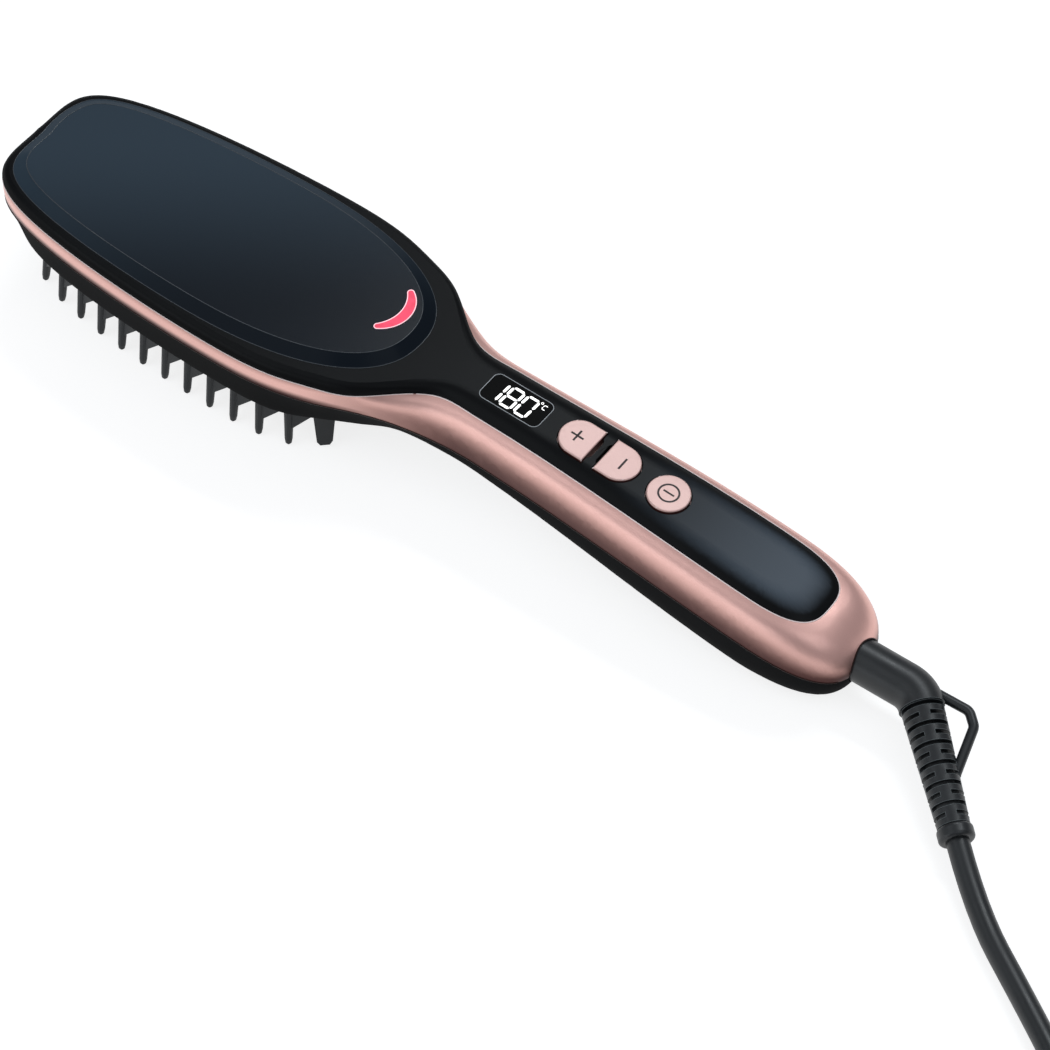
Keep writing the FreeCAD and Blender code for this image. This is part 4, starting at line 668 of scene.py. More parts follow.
BLACK_SHELL = MouldedPlastic("satin_black_shell", (0.0022, 0.0026, 0.0032, 1), (0.34, 0.42),
                             # The coat span makes the walls darker than the top: painted shade.
                             tint=(0.003, 0.0037, 0.0047, 1), sheen=0.0, coat=(0.1, 0.24),
                             # The pale blue-grey towards the handle's end is a painted highlight.
                             painted_highlight=(0.08, 0.1, 0.125, 1))
NYLON = MouldedPlastic("black_nylon", (0.015, 0.017, 0.019, 1), (0.42, 0.55), grain=1800.0,
                       tint=(0.022, 0.025, 0.028, 1), sheen=0.35)
# The shadow colour is painted shade on the band; the keys get the same painted shade on their sides.
ROSE_GOLD = MetallicCoat("rose_gold_coat", (0.88, 0.53, 0.47, 1), (0.36, 0.46), deep=(0.7, 0.37, 0.32, 1),
                         shadow=(0.06, 0.015, 0.012, 1))
ROSE_KEY = MetallicCoat("rose_gold_key", (0.66, 0.43, 0.39, 1), (0.36, 0.46), deep=(0.56, 0.34, 0.3, 1),
                        metal=0.3)
# A painted highlight on the band's seams and the keys' edges.
ROSE_EDGE_HIGHLIGHT = MouldedPlastic("rose_gold_edge_highlight", (0.95, 0.8, 0.77, 1), (0.25, 0.3), tint=(0.98, 0.86, 0.84, 1))
# Painted shade: a dark brown bead at the band's foot.
ROSE_FOOT_SHADE = MouldedPlastic("rose_gold_foot_shade", (0.03, 0.012, 0.01, 1), (0.4, 0.5),
                           tint=(0.04, 0.016, 0.013, 1), sheen=0.2)
# The panel's paler tint towards its tip is a painted reflection.
PANEL = GlossPanelCoat("gloss_black_panel", (0.007, 0.0105, 0.0155, 1), (0.14, 0.2),
                       tint=(0.034, 0.052, 0.071, 1), coat=0.4)
# The next three colours are painted highlights on the edges of the panel, the display window and the sleeve's
# slots.
PANEL_EDGE_HIGHLIGHT = MouldedPlastic("panel_edge_highlight", (0.05, 0.06, 0.07, 1), (0.2, 0.3), tint=(0.06, 0.07, 0.08, 1))
WINDOW_EDGE_HIGHLIGHT = MouldedPlastic("window_edge_highlight", (0.42, 0.44, 0.46, 1), (0.25, 0.3), tint=(0.5, 0.52, 0.54, 1))
SLOT_EDGE_HIGHLIGHT = MouldedPlastic("slot_edge_highlight", (0.1, 0.115, 0.12, 1), (0.35, 0.45), tint=(0.13, 0.145, 0.15, 1))
LENS = LitPlastic("lit_crescent", (0.6, 0.03, 0.08, 1), (0.3, 0.3), glow=(0.5, 0.008, 0.04, 1),
                  pale=(0.85, 0.045, 0.12, 1), strength=0.75)
# A painted highlight, lit as a glow, along the crescent lens's edges.
LENS_EDGE_HIGHLIGHT = LitPlastic("lit_crescent_edge_highlight", (0.9, 0.5, 0.55, 1), (0.3, 0.3), glow=(1.0, 0.5, 0.56, 1),
                       pale=(1.0, 0.72, 0.76, 1), strength=0.75)
LED = LitPlastic("red_led", (0.8, 0.1, 0.1, 1), (0.3, 0.3), glow=(1.0, 0.1, 0.1, 1),
                 pale=(1.0, 0.4, 0.4, 1), strength=1.0)
DIGITS = LitPlastic("lit_digits", (0.9, 0.9, 0.88, 1), (0.4, 0.4), glow=(1.0, 0.98, 0.94, 1),
                    pale=(1.0, 1.0, 1.0, 1), strength=1.0)
# The window's faint change to its tint is a painted reflection.
WINDOW = GlossPanelCoat("smoked_window", (0.002, 0.002, 0.002, 1), (0.08, 0.14),
                        tint=(0.003, 0.003, 0.004, 1), coat=0.02)
SIGN_INK = MouldedPlastic("dark_sign_ink", (0.03, 0.018, 0.017, 1), (0.5, 0.6), tint=(0.045, 0.028, 0.026, 1))
RUBBER = MouldedPlastic("cord_rubber", (0.009, 0.0105, 0.012, 1), (0.36, 0.48), grain=1500.0, depth=3.0e-6,
                        tint=(0.013, 0.016, 0.018, 1))
CERAMIC_COAT = MouldedPlastic("ceramic_coating", (0.03, 0.027, 0.026, 1), (0.38, 0.5), grain=3500.0,
                              tint=(0.05, 0.042, 0.04, 1))
WHITE_CERAMIC = MouldedPlastic("white_ceramic", (0.78, 0.76, 0.7, 1), (0.5, 0.6), tint=(0.7, 0.66, 0.58, 1))
BEAD = MouldedPlastic("sensor_bead", (0.3, 0.13, 0.06, 1), (0.2, 0.3), tint=(0.36, 0.18, 0.1, 1))
MICA = MouldedPlastic("mica_sheet", (0.55, 0.47, 0.33, 1), (0.4, 0.55), grain=700.0,
                      tint=(0.64, 0.56, 0.42, 1))
WHITE_PLASTIC = MouldedPlastic("white_moulding", (0.75, 0.75, 0.72, 1), (0.4, 0.5), tint=(0.7, 0.69, 0.65, 1))
SWITCH = MouldedPlastic("switch_black", (0.02, 0.02, 0.021, 1), (0.45, 0.55), tint=(0.03, 0.03, 0.032, 1))
CAPACITOR = MouldedPlastic("capacitor_case", (0.5, 0.4, 0.1, 1), (0.35, 0.45), tint=(0.56, 0.46, 0.15, 1))
STEEL = BareMetal("zinc_steel", (0.58, 0.58, 0.57, 1), (0.25, 0.4))
BRASS = BareMetal("contact_brass", (0.72, 0.52, 0.2, 1), (0.2, 0.35))
NICKEL = BareMetal("plated_pins", (0.68, 0.66, 0.6, 1), (0.15, 0.28), lines=(3000.0, 200.0, 3000.0))
BOARD = CircuitBoard("solder_mask", (0.03, 0.16, 0.07, 1), (0.35, 0.35))
STRAP = Weave("woven_strap", (0.018, 0.018, 0.02, 1), (0.75, 0.9))

NODE_FINISHES: dict[str, Finish] = {
    "lower_shell": BLACK_SHELL, "upper_shell": BLACK_SHELL, "trim_band": ROSE_GOLD, "back_panel": PANEL,
    "indicator_lens": LENS, "indicator_board": BOARD, "indicator_led": LED, "display_window": WINDOW,
    "display_module": WHITE_PLASTIC, "control_board": BOARD, "tact_switches": SWITCH, "board_screws": STEEL,
    "mains_capacitor": CAPACITOR, "guard_comb": NYLON, "heater_plate": CERAMIC_COAT, "cool_tips": NYLON,
    "ceramic_heaters": WHITE_CERAMIC, "heater_clamp": STEEL, "clamp_screws": STEEL,
    "thermal_fuse": WHITE_CERAMIC, "thermistor": BEAD, "heat_shield": MICA, "housing_screws": STEEL,
    "swivel_bush": WHITE_PLASTIC, "contact_block": SWITCH, "contact_springs": BRASS, "swivel_core": SWITCH,
    "slip_rings": BRASS, "strain_relief": RUBBER, "cord_tie": STRAP, "plug_body": RUBBER, "plug_pins": NICKEL,
    "plus_button": ROSE_KEY, "minus_button": ROSE_KEY, "power_button": ROSE_KEY,
}


class Wardrobe:
    """Builds each finish once and dresses pieces with it."""

    def __init__(self) -> None:
        """Build the shared effects."""
        self.effects = EffectLibrary()
        self.made: dict[str, bpy.types.Material] = {}

    def material(self, finish: Finish) -> bpy.types.Material:
        """Give the material of a finish, made on first use.

        Args:
            finish: The finish.

        Returns:
            Its material.
        """
        if finish.name not in self.made:
            self.made[finish.name] = finish.build(self.effects)
        return self.made[finish.name]

    def dress(self, piece: bpy.types.Object, finish: Finish) -> None:
        """Put one finish all over a piece.

        Args:
            piece: The piece.
            finish: Its finish.
        """
        slots = piece.data.materials
        slots.clear()
        slots.append(self.material(finish))

    def fit(self, piece: bpy.types.Object, finish: Finish, body: Body, slot: str) -> None:
        """Dress a new piece, put it on its body and log its name.

        Args:
            piece: The piece.
            finish: Its finish.
            body: What it rides on.
            slot: Its material in the record; not used.
        """
        self.dress(piece, finish)
        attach(piece, body.value)
        log.info("%s", piece.name)


def deselect_all() -> None:
    """Leave object mode's selection empty."""
    if bpy.context.object and bpy.context.object.mode != "OBJECT":
        bpy.ops.object.mode_set(mode="OBJECT")
    bpy.ops.object.select_all(action="DESELECT")


def settle(piece: bpy.types.Object, placement: Matrix) -> None:
    """Move a piece's mesh to its place and leave its object at the origin.

    Args:
        piece: A mesh object.
        placement: Its place in the shared frame.
    """
    piece.data.transform(placement @ piece.matrix_world)
    piece.matrix_world = Matrix.Identity(4)
    piece.data.update()


def add_block(name: str, size: Triple) -> bpy.types.Object:
    """Add a block at the origin, to be shaped further.

    Args:
        name: The object's name.
        size: Its length, width and height in metres.

    Returns:
        The block.
    """
    deselect_all()
    bpy.ops.mesh.primitive_cube_add(size=1.0)
    block = bpy.context.object
    block.name = name
    block.scale = size
    bpy.ops.object.transform_apply(location=False, rotation=False, scale=True)
    return block


@dataclass
class HandleTop:
    """The curve of the handle's top, from which the display and the keys get their frames."""

    end: float = 142.5
    droop_start: float = 0.0
    droop: float = 12.0
    height: float = 40.0

    def frame(self, x: float) -> Matrix:
        """Give the tilted frame on the handle's middle line at x millimetres.

        Args:
            x: Distance along the brush.

        Returns:
            A matrix in metres whose Z is square to the surface.
        """
        reach = self.end - self.droop_start
        share = max(0.0, x - self.droop_start) / reach
        slope = 2 * self.droop * share / reach
        place = Vector((x, 0.0, self.height - self.droop * share * share)) * MM
        return Matrix.Translation(place) @ Matrix.Rotation(math.atan(slope), 4, "Y")


@dataclass
class ControlPanel:
    """The display's figures, the signs on the three keys and the bar between two of them."""

    wardrobe: Wardrobe
    top: HandleTop = field(default_factory=HandleTop)
    control_x: float = 63.0
    display_x: float = 28.5
    plus_x: float = 49.0
    minus_x: float = 63.25
    power_x: float = 78.6
    key_height: float = 0.6
    ink: float = 0.03
    ink_gap: float = 0.005
    narrow_end: float = 0.1
    digit_size: Pair = (3.6, 6.8)
    digit_pitch: float = 4.88
    first_digit: float = -6.3
    digit_rise: float = -0.2
    stroke: float = 0.78
    slant: float = 0.05
    degree_place: Pair = (6.2, 3.4)
    unit_place: Pair = (7.6, 2.5)
    unit_size: Pair = (1.1, 1.5)
    unit_stroke: float = 0.26
    segment_cut: float = 1.5
    degree_radius: float = 0.4
    degree_width: float = 0.18
    degree_sides: int = 20
    plus_length: float = 4.0
    minus_length: float = 4.1
    sign_width: float = 0.6
    sign_shift: float = 0.3
    power_radius: float = 3.1
    power_length: float = 3.4
    power_width: float = 0.55
    divider_gap: float = 0.15
    divider_width: float = 8.8
    divider_depth: float = 1.6
    divider_drop: float = 0.12
    divider_bevel: float = 0.15

    def bar(self, name: str, length: float, width: float, turn: float, at: Pair,
            taper: float = 0.0) -> bpy.types.Object:
        """Model a flat printed bar, its ends drawn to a point where it tapers.

        Args:
            name: The object's name.
            length: Length in millimetres.
            width: Width in millimetres.
            turn: Turn about Z in radians.
            at: Place of its middle in millimetres.
            taper: How far each end is drawn to a point, in millimetres.

        Returns:
            The bar, lying on its own XY plane.
        """
        piece = add_block(name, (length * MM, width * MM, self.ink * MM))
        if taper > 0:
            bpy.ops.object.mode_set(mode="EDIT")
            for side in (-1, 1):
                self.point_end(piece, side, taper * MM)
            bpy.ops.object.mode_set(mode="OBJECT")
        move = Matrix.Translation(Vector((at[0], at[1], self.ink / 2)) * MM)
        settle(piece, move @ Matrix.Rotation(turn, 4, "Z"))
        return piece

    def point_end(self, piece: bpy.types.Object, side: int, reach: float) -> None:
        """Extrude one end face of a bar and draw it to a narrow edge.

        Args:
            piece: The bar, in edit mode.
            side: -1 or 1 along X.
            reach: How far the end goes out.
        """
        bpy.ops.mesh.select_mode(type="FACE")
        bpy.ops.mesh.select_all(action="DESELECT")
        bpy.ops.object.mode_set(mode="OBJECT")
        for face in piece.data.polygons:
            face.select = face.normal.x * side > 0.9
        bpy.ops.object.mode_set(mode="EDIT")
        bpy.ops.mesh.extrude_region_move(TRANSFORM_OT_translate={"value": (side * reach, 0, 0)})
        bpy.ops.transform.resize(value=(1.0, self.narrow_end, 1.0))

    @staticmethod
    def join(name: str, pieces: list[bpy.types.Object]) -> bpy.types.Object:
        """Join pieces into one mesh.

        Args:
            name: The joined piece's name.
            pieces: The pieces.

        Returns:
            The joined piece.
        """
        deselect_all()
        for piece in pieces:
            piece.select_set(True)
        bpy.context.view_layer.objects.active = pieces[0]
        bpy.ops.object.join()
        joined = bpy.context.object
        joined.name = name
        joined.data.name = name
        return joined

    def ring(self, name: str, radius: float, width: float, at: Pair,
             sides: int = 48) -> bpy.types.Object:
        """Model a flat printed ring.

        Args:
            name: The object's name.
            radius: Outer radius in millimetres.
            width: Width of the line in millimetres.
            at: Place of its middle in millimetres.
            sides: Corners of the ring.

        Returns:
            The ring, lying on its own XY plane.
        """
        deselect_all()
        bpy.ops.mesh.primitive_circle_add(vertices=sides, radius=radius * MM, fill_type="NGON")
        piece = bpy.context.object
        piece.name = name
        bpy.ops.object.mode_set(mode="EDIT")
        bpy.ops.mesh.select_all(action="SELECT")
        bpy.ops.mesh.inset(thickness=width * MM)
        bpy.ops.mesh.delete(type="FACE")
        bpy.ops.mesh.select_all(action="SELECT")
        bpy.ops.mesh.extrude_region_move(TRANSFORM_OT_translate={"value": (0, 0, self.ink * MM)})
        bpy.ops.mesh.select_all(action="SELECT")
        bpy.ops.mesh.normals_make_consistent(inside=False)
        bpy.ops.object.mode_set(mode="OBJECT")
        settle(piece, Matrix.Translation(Vector((at[0], at[1], 0.0)) * MM))
        return piece

    def figure(self, sign: str, at: Pair, extent: Pair,
               stroke: float) -> list[bpy.types.Object]:
        """Model one seven-segment figure that reads along the handle.

        Args:
            sign: The figure or letter.
            at: Place of its middle, in millimetres.
            extent: Its width and height, in millimetres.
            stroke: Width of its lines, in millimetres.

        Returns:
            Its segments.
        """
        half_wide, half_tall = extent[0] / 2, extent[1] / 2
        quarter = half_tall / 2
        places = {
            "a": (0.0, half_tall, 0.0), "d": (0.0, -half_tall, 0.0), "g": (0.0, 0.0, 0.0),
            "b": (half_wide, quarter, QUARTER_TURN), "c": (half_wide, -quarter, QUARTER_TURN),
            "f": (-half_wide, quarter, QUARTER_TURN), "e": (-half_wide, -quarter, QUARTER_TURN),
        }
        bars = []
        for segment in SEGMENTS[sign]:
            across, up, turn = places[segment]
            length = (extent[0] if turn == 0.0 else half_tall) - self.segment_cut * stroke
            bars.append(self.bar(f"digit_bar_{segment}", length, stroke, turn, (across, up), stroke / 2))
        lean = Matrix.Identity(4)
        lean[0][1] = self.slant
        for piece in bars:
            settle(piece, Matrix.Translation(Vector((at[0], at[1], 0.0)) * MM) @ lean)
        return bars

    def build_display(self) -> None:
        """Model the lit figures on the display window."""
        bars = []
        for i, sign in enumerate("180"):
            place = (self.first_digit + i * self.digit_pitch, self.digit_rise)
            bars += self.figure(sign, place, self.digit_size, self.stroke)
        bars.append(self.ring("degree_ring", self.degree_radius, self.degree_width, self.degree_place,
                              self.degree_sides))
        bars += self.figure("C", self.unit_place, self.unit_size, self.unit_stroke)
        figures = self.join("display_figures", bars)
        settle(figures, self.top.frame(self.display_x) @ Matrix.Translation((0, 0, self.ink_gap * MM)))
        self.wardrobe.fit(figures, DIGITS, Body.HOUSING, "white_plastic")

    def key_frame(self, x: float) -> Matrix:
        """Give the frame on the top face of a key.

        Args:
            x: Distance along the brush, in millimetres.

        Returns:
            A matrix in metres.
        """
        tilted = self.top.frame(self.control_x)
        along = (x - self.control_x) / math.cos(math.asin(-tilted[2][0]))
        return tilted @ Matrix.Translation(Vector((along, 0.0, self.key_height + self.ink_gap)) * MM)

    def build_divider(self, nodes: Nodes) -> None:
        """Model the black bar that parts the two rocker keys.

        Args:
            nodes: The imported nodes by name.
        """
        frame = self.top.frame(self.control_x)
        inward = frame.inverted()
        plus_end = max((inward @ vertex.co).x for vertex in nodes["plus_button"].data.vertices)
        minus_start = min((inward @ vertex.co).x for vertex in nodes["minus_button"].data.vertices)
        length = minus_start - plus_end - 2 * self.divider_gap * MM
        bar = add_block("key_divider", (length, self.divider_width * MM, self.divider_depth * MM))
        bpy.ops.object.mode_set(mode="EDIT")
        bpy.ops.mesh.select_all(action="SELECT")
        bpy.ops.mesh.bevel(offset=self.divider_bevel * MM, segments=3, affect="EDGES")
        bpy.ops.object.mode_set(mode="OBJECT")
        below = (self.divider_drop + self.divider_depth / 2) * MM
        place = Vector(((plus_end + minus_start) / 2, 0.0, -below))
        settle(bar, frame @ Matrix.Translation(place))
        self.wardrobe.fit(bar, BLACK_SHELL, Body.HOUSING, "black_shell")

    def build_signs(self) -> None:
        """Model the dark signs on the three keys."""
        plus_at, minus_at, middle = (-self.sign_shift, 0.0), (self.sign_shift, 0.0), (0.0, 0.0)
        plus = self.join("plus_sign", [
            self.bar("plus_bar", self.plus_length, self.sign_width, 0.0, plus_at),
            self.bar("plus_upright", self.plus_length, self.sign_width, QUARTER_TURN, plus_at)])
        minus = self.join("minus_sign", [
            self.bar("minus_bar", self.minus_length, self.sign_width, QUARTER_TURN, minus_at)])
        power = self.join("power_sign", [
            self.ring("power_ring", self.power_radius, self.power_width, middle),
            self.bar("power_bar", self.power_length, self.power_width, 0.0, middle)])
        for sign, x, body in ((plus, self.plus_x, Body.PLUS), (minus, self.minus_x, Body.MINUS),
                              (power, self.power_x, Body.POWER)):
            settle(sign, self.key_frame(x))
            self.wardrobe.fit(sign, SIGN_INK, body, "switch_black")


@dataclass(frozen=True)
class Line:
    """Where a line runs on one moulding, and how it looks.

    The angle is the least one of a sharp edge, in degrees, and the radius is in millimetres. Where a
    neighbour is named, only edges on the seam with it get the line.
    """

    node: str
    finish: Finish
    body: Body
    slot: str
    angle: float
    radius: float
    neighbour: str = ""


# Beads with painted highlights, and one with painted shade at the band's foot.
LINES = (
    Line("trim_band", ROSE_EDGE_HIGHLIGHT, Body.HOUSING, "rose_gold", 22.0, 0.2, "upper_shell"),
    Line("upper_shell", ROSE_EDGE_HIGHLIGHT, Body.HOUSING, "rose_gold", 30.0, 0.18, "trim_band"),
    # Painted shade along the band's lower edge.
    Line("trim_band", ROSE_FOOT_SHADE, Body.HOUSING, "rose_gold", 22.0, 0.22),
    Line("back_panel", PANEL_EDGE_HIGHLIGHT, Body.HOUSING, "gloss_black", 20.0, 0.12),
    Line("display_window", WINDOW_EDGE_HIGHLIGHT, Body.HOUSING, "gloss_black", 50.0, 0.11),
    Line("indicator_lens", LENS_EDGE_HIGHLIGHT, Body.HOUSING, "indicator_red", 50.0, 0.15),
    Line("strain_relief", SLOT_EDGE_HIGHLIGHT, Body.CORD, "cord_rubber", 50.0, 0.07),
    Line("plus_button", ROSE_EDGE_HIGHLIGHT, Body.PLUS, "rose_gold", 20.0, 0.1),
    Line("minus_button", ROSE_EDGE_HIGHLIGHT, Body.MINUS, "rose_gold", 20.0, 0.1),
    Line("power_button", ROSE_EDGE_HIGHLIGHT, Body.POWER, "rose_gold", 20.0, 0.1),
)


@dataclass
class EdgeLines:
    """Fine beads along the edges of mouldings, coloured as painted highlights where the real edge is round
    and catches the light, and as painted shade at the band's foot.
    """

    wardrobe: Wardrobe
    lift: float = 0.05
    merge: float = 0.02
    seam: float = 0.3

    def shows(self, middle: Vector, outward: Vector) -> bool:
        """Say whether an edge has a free view along a direction.

        Args:
            middle: The edge's middle, in metres.
            outward: The direction of one of its faces.

        Returns:
            True where the edge is free.
        """
        graph = bpy.context.evaluated_depsgraph_get()
        start = middle + outward * self.lift * MM
        return not bpy.context.scene.ray_cast(graph, start, outward)[0]

    def touches(self, middle: Vector, neighbour: bpy.types.Object | None) -> bool:
        """Say whether a place lies on the seam with a neighbour.

        Args:
            middle: The place, in metres.
            neighbour: The other moulding, or None where any place will do.

        Returns:
            True on the seam.
        """
        if neighbour is None:
            return True
        found, nearest, _, _ = neighbour.closest_point_on_mesh(middle)
        return found and (nearest - middle).length < self.seam * MM

    def is_line(self, mesh: bpy.types.Mesh, edge: bpy.types.MeshEdge, faces: list, angle: float,
                neighbour: bpy.types.Object | None) -> bool:
        """Say whether an edge is sharp, stands out and is free.

        Args:
            mesh: A merged mesh.
            edge: One of its edges.
            faces: The faces beside the edge.
            angle: Least angle of a sharp edge, in degrees.
            neighbour: A moulding that the edge must touch, or None.

        Returns:
            True where a line is drawn.
        """
        if len(faces) not in (1, 2):
            return False
        first, last = faces[0], faces[-1]
        middle = (mesh.vertices[edge.vertices[0]].co + mesh.vertices[edge.vertices[1]].co) / 2
        if len(faces) == 2:
            bend = math.degrees(first.normal.angle(last.normal, 0.0))
            if bend < angle or (last.center - middle).dot(first.normal) > 0:
                return False
        if not self.shows(middle, first.normal) and not self.shows(middle, last.normal):
            return False
        return self.touches(middle, neighbour)

    def select_lines(self, mesh: bpy.types.Mesh, angle: float, neighbour: bpy.types.Object | None) -> None:
        """Select the edges that get a line.

        Args:
            mesh: A merged mesh, in object mode.
            angle: Least angle of a sharp edge, in degrees.
            neighbour: A moulding that the edges must touch, or None.
        """
        sides: dict[tuple[int, int], list[bpy.types.MeshPolygon]] = {}
        for face in mesh.polygons:
            for key in face.edge_keys:
                sides.setdefault(key, []).append(face)
        for edge in mesh.edges:
            edge.select = self.is_line(mesh, edge, sides.get(edge.key, []), angle, neighbour)

    def trace(self, line: Line, nodes: Nodes) -> None:
        """Draw a bead along the free sharp edges of a moulding.

        Args:
            line: Where it runs and how it looks.
            nodes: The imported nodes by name.
        """
        neighbour = nodes[line.neighbour] if line.neighbour else None
        deselect_all()
        kind = "seam" if neighbour else "edge"
        piece = bpy.data.objects.new(f"{line.node}_{kind}", nodes[line.node].data.copy())
        bpy.context.collection.objects.link(piece)
        piece.select_set(True)
        bpy.context.view_layer.objects.active = piece
        bpy.ops.object.mode_set(mode="EDIT")
        bpy.ops.mesh.select_mode(type="EDGE")
        bpy.ops.mesh.select_all(action="SELECT")
        bpy.ops.mesh.remove_doubles(threshold=self.merge * MM)
        bpy.ops.mesh.select_all(action="DESELECT")
        bpy.ops.object.mode_set(mode="OBJECT")
        self.select_lines(piece.data, line.angle, neighbour)
        bpy.ops.object.mode_set(mode="EDIT")
        bpy.ops.mesh.select_all(action="INVERT")
        bpy.ops.mesh.delete(type="EDGE")
        bpy.ops.object.mode_set(mode="OBJECT")
        bpy.ops.object.convert(target="CURVE")
        piece = bpy.context.object
        piece.data.bevel_depth = line.radius * MM
        piece.data.bevel_resolution = 1
        bpy.ops.object.convert(target="MESH")
        piece = bpy.context.object
        bpy.ops.object.shade_smooth()
        self.wardrobe.fit(piece, line.finish, line.body, line.slot)

    def build(self, nodes: Nodes) -> None:
        """Draw the lines in their order, as a bead that is there keeps a later one off its edge.

        Args:
            nodes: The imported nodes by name.
        """
        for line in LINES:
            self.trace(line, nodes)


@dataclass
class CordSet:
    """The free cord: from the sleeve along the floor, into its coil and out to the plug."""

    wardrobe: Wardrobe
    diameter: float = 6.4
    length: float = 1906.1
    route: tuple = ((190.73, -29.06, 6.89), (205.26, -42.44, 3.80), (226.60, -55.70, 3.40),
                    (244.54, -67.65, 4.10), (260.14, -80.16, 4.10))
    tail: tuple = ((349.31, -38.96, 11.00), (349.75, -23.97, 11.00), (350.40, -9.00, 6.85),
                   (350.40, 5.00, 6.85))
    centre: Pair = (298.0, -45.0)
    entry_angle: float = 230.0
    turns: float = 7.36
    inner_radius: float = 25.0
    pitch: float = 7.1
    layer: float = 6.9
    lift: float = 0.9
    steps: int = 24
    order: int = 3
    resolution: int = 6
    section: int = 5

    def coil_points(self) -> list[Triple]:
        """Work out the coil's turns: in on the lower layer, a climb, out on the upper.

        Returns:
            Control points in millimetres.
        """
        points = []
        count = round(self.turns * self.steps)
        outward = 1 / math.cos(math.pi / self.steps)
        for i in range(count + 1):
            turn = self.turns * i / count
            from_middle = (turn - self.turns / 2) * 2 * math.pi
            spread = abs(from_middle)
            if spread < QUARTER_TURN:
                spread = from_middle ** 2 / math.pi + math.pi / 4
            radius = (self.inner_radius + self.pitch * spread / (2 * math.pi)) * outward
            share = min(1.0, max(0.0, (from_middle + QUARTER_TURN) / math.pi))
            climb = share * share * (3 - 2 * share)
            angle = math.radians(self.entry_angle) + turn * 2 * math.pi
            points.append((self.centre[0] + radius * math.cos(angle),
                           self.centre[1] + radius * math.sin(angle),
                           self.diameter / 2 + self.lift + self.layer * climb))
        return points

    def build(self) -> bpy.types.Object:
        """Lay the cord as one smooth spline with a round section.

        Returns:
            The cord.
        """
        curve = bpy.data.curves.new("mains_cord", "CURVE")
        curve.dimensions = "3D"
        points = [*self.route, *self.coil_points(), *self.tail]
        spline = curve.splines.new("NURBS")
        spline.points.add(len(points) - 1)
        for point, place in zip(spline.points, points):
            point.co = (*(Vector(place) * MM), 1.0)
        spline.order_u = self.order
        spline.use_endpoint_u = True
        spline.resolution_u = self.resolution
        curve.bevel_depth = self.diameter / 2 * MM
        curve.bevel_resolution = self.section
        curve.use_fill_caps = True
        cord = bpy.data.objects.new("mains_cord", curve)
        bpy.context.collection.objects.link(cord)
        self.wardrobe.fit(cord, RUBBER, Body.CORD, "cord_rubber")
        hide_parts("power_cord", "cord_coil", "cord_tail")
        return cord


@dataclass(frozen=True)
class Lamp:
    """One soft rectangular lamp: its place, aim and size in metres, and its power in watts."""

    name: str
    place: Triple
    aim: Triple
    size: Pair
    power: float

    def hang(self, colour: Triple) -> None:
        """Hang the lamp.

        Args:
            colour: The colour of its light.
        """
        data = bpy.data.lights.new(self.name, "AREA")
        data.shape = "RECTANGLE"
        data.size, data.size_y = self.size
        data.energy = self.power
        data.color = colour
        lamp = bpy.data.objects.new(self.name, data)
        bpy.context.collection.objects.link(lamp)
        direction = Vector(self.aim) - Vector(self.place)
        turn = direction.to_track_quat("-Z", "Y").to_matrix().to_4x4()
        lamp.matrix_world = Matrix.Translation(self.place) @ turn


LAMPS = (
    Lamp("overhead", (-0.05, 0.85, 1.4), (0.0, 0.0, 0.0), (1.2, 0.26), 10.0),
    Lamp("side", (-0.55, -1.35, 0.4), (0.0, 0.0, 0.03), (1.6, 0.6), 4.5),
    Lamp("front", (-0.6, -0.75, 1.35), (0.0, 0.0, 0.0), (1.2, 0.9), 3.2),
    Lamp("end", (0.9, -0.25, 1.2), (0.1, 0.0, 0.0), (0.9, 0.9), 2.4),
)


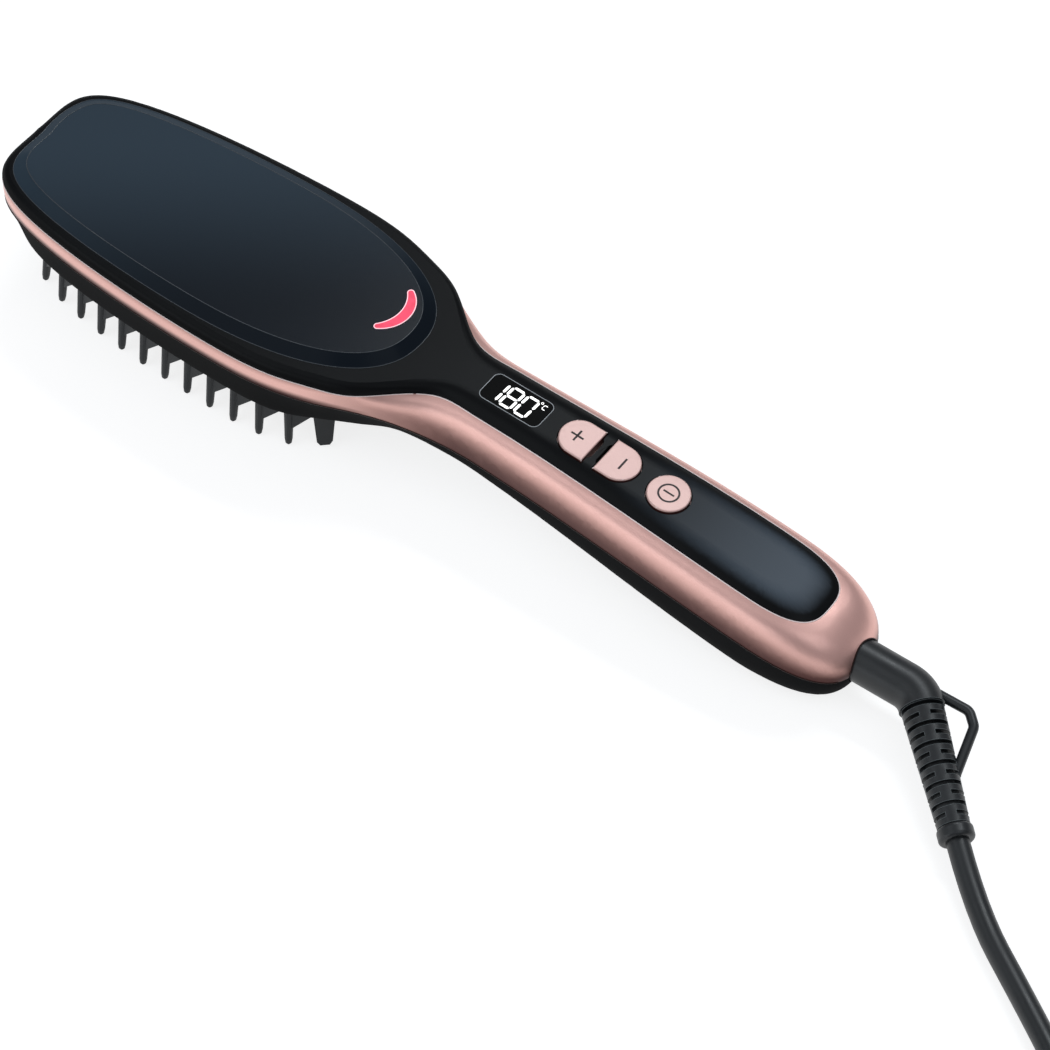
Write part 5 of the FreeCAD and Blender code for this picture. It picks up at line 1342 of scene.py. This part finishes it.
@dataclass
class Studio:
    """The pale floor, the soft lights and the camera."""

    azimuth: float = 36.5
    elevation: float = 52.3
    distance: float = 1000.0
    focal_pixels: float = 3720.0
    aim: Triple = (28.5, 0.0, 40.0)
    aim_pixel: Pair = (516.6, 399.2)
    sensor: float = 36.0
    far: float = 20.0
    lamp_colour: Triple = (0.9, 0.96, 1.0)
    room_colour: Colour = (0.9, 0.93, 1.0, 1.0)
    room_light: float = 0.3
    floor_size: float = 12.0
    floor_drop: float = 0.0002
    floor_colour: Colour = (0.42, 0.42, 0.42, 1.0)
    floor_rough: float = 0.9
    floor_glow: float = 0.8

    def axes(self) -> tuple[Vector, Vector, Vector]:
        """Give the camera's directions.

        Returns:
            Its right, up and backward directions.
        """
        turn, rise = math.radians(self.azimuth), math.radians(self.elevation)
        back = Vector((math.sin(turn) * math.cos(rise), -math.cos(turn) * math.cos(rise), math.sin(rise)))
        right = Vector((math.cos(turn), math.sin(turn), 0.0))
        return right, back.cross(right), back

    def build_camera(self) -> None:
        """Place the camera so that the aim point lands on its pixel."""
        right, up, back = self.axes()
        scale = self.distance / self.focal_pixels
        across = (self.aim_pixel[0] - IMAGE_SIDE / 2) * scale
        above = (IMAGE_SIDE / 2 - self.aim_pixel[1]) * scale
        place = (Vector(self.aim) + back * self.distance - right * across - up * above) * MM
        data = bpy.data.cameras.new("camera")
        data.sensor_width = self.sensor
        data.lens = self.focal_pixels / IMAGE_SIDE * self.sensor
        data.clip_end = self.far
        camera = bpy.data.objects.new("camera", data)
        bpy.context.collection.objects.link(camera)
        turn = Matrix((right, up, back)).transposed().to_4x4()
        camera.matrix_world = Matrix.Translation(place) @ turn
        bpy.context.scene.camera = camera

    def build_floor(self) -> None:
        """Lay a wide pale floor that keeps the object's soft shadow."""
        deselect_all()
        bpy.ops.mesh.primitive_plane_add(size=self.floor_size, location=(0, 0, -self.floor_drop))
        floor = bpy.context.object
        floor.name = "floor"
        paint = Paint("pale_floor")
        rays = paint.add("ShaderNodeLightPath").outputs
        seen = paint.reckon("MAXIMUM", rays["Is Camera Ray"], rays["Is Glossy Ray"])
        seen = paint.reckon("MAXIMUM", seen, rays["Is Transmission Ray"])
        paint.shade(Base_Color=self.floor_colour, Roughness=self.floor_rough, Specular_IOR_Level=0.0,
                    Emission_Color=WHITE, Emission_Strength=paint.reckon("MULTIPLY", seen, self.floor_glow))
        floor.data.materials.append(paint.material)

    def build_lights(self) -> None:
        """Hang the soft lamps and set the even light of the room."""
        for lamp in LAMPS:
            lamp.hang(self.lamp_colour)
        world = bpy.data.worlds.new("room")
        world.use_nodes = True
        background = world.node_tree.nodes["Background"]
        background.inputs["Color"].default_value = self.room_colour
        background.inputs["Strength"].default_value = self.room_light
        bpy.context.scene.world = world
        bpy.context.scene.view_settings.view_transform = "Standard"


def main() -> None:
    """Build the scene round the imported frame."""
    logging.basicConfig(level=logging.INFO, format="%(name)s: %(message)s")
    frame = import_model()
    wardrobe = Wardrobe()
    studio = Studio()
    studio.build_camera()
    cord_set = CordSet(wardrobe)
    cord = cord_set.build()
    log.info("cord laid")
    for name, finish in NODE_FINISHES.items():
        wardrobe.dress(frame["nodes"][name], finish)
    log.info("%d solids dressed", len(NODE_FINISHES))
    controls = ControlPanel(wardrobe)
    controls.build_display()
    controls.build_signs()
    controls.build_divider(frame["nodes"])
    log.info("display and keys signed")
    EdgeLines(wardrobe).build(frame["nodes"])
    studio.build_floor()
    studio.build_lights()


if __name__ == "__main__":
    main()
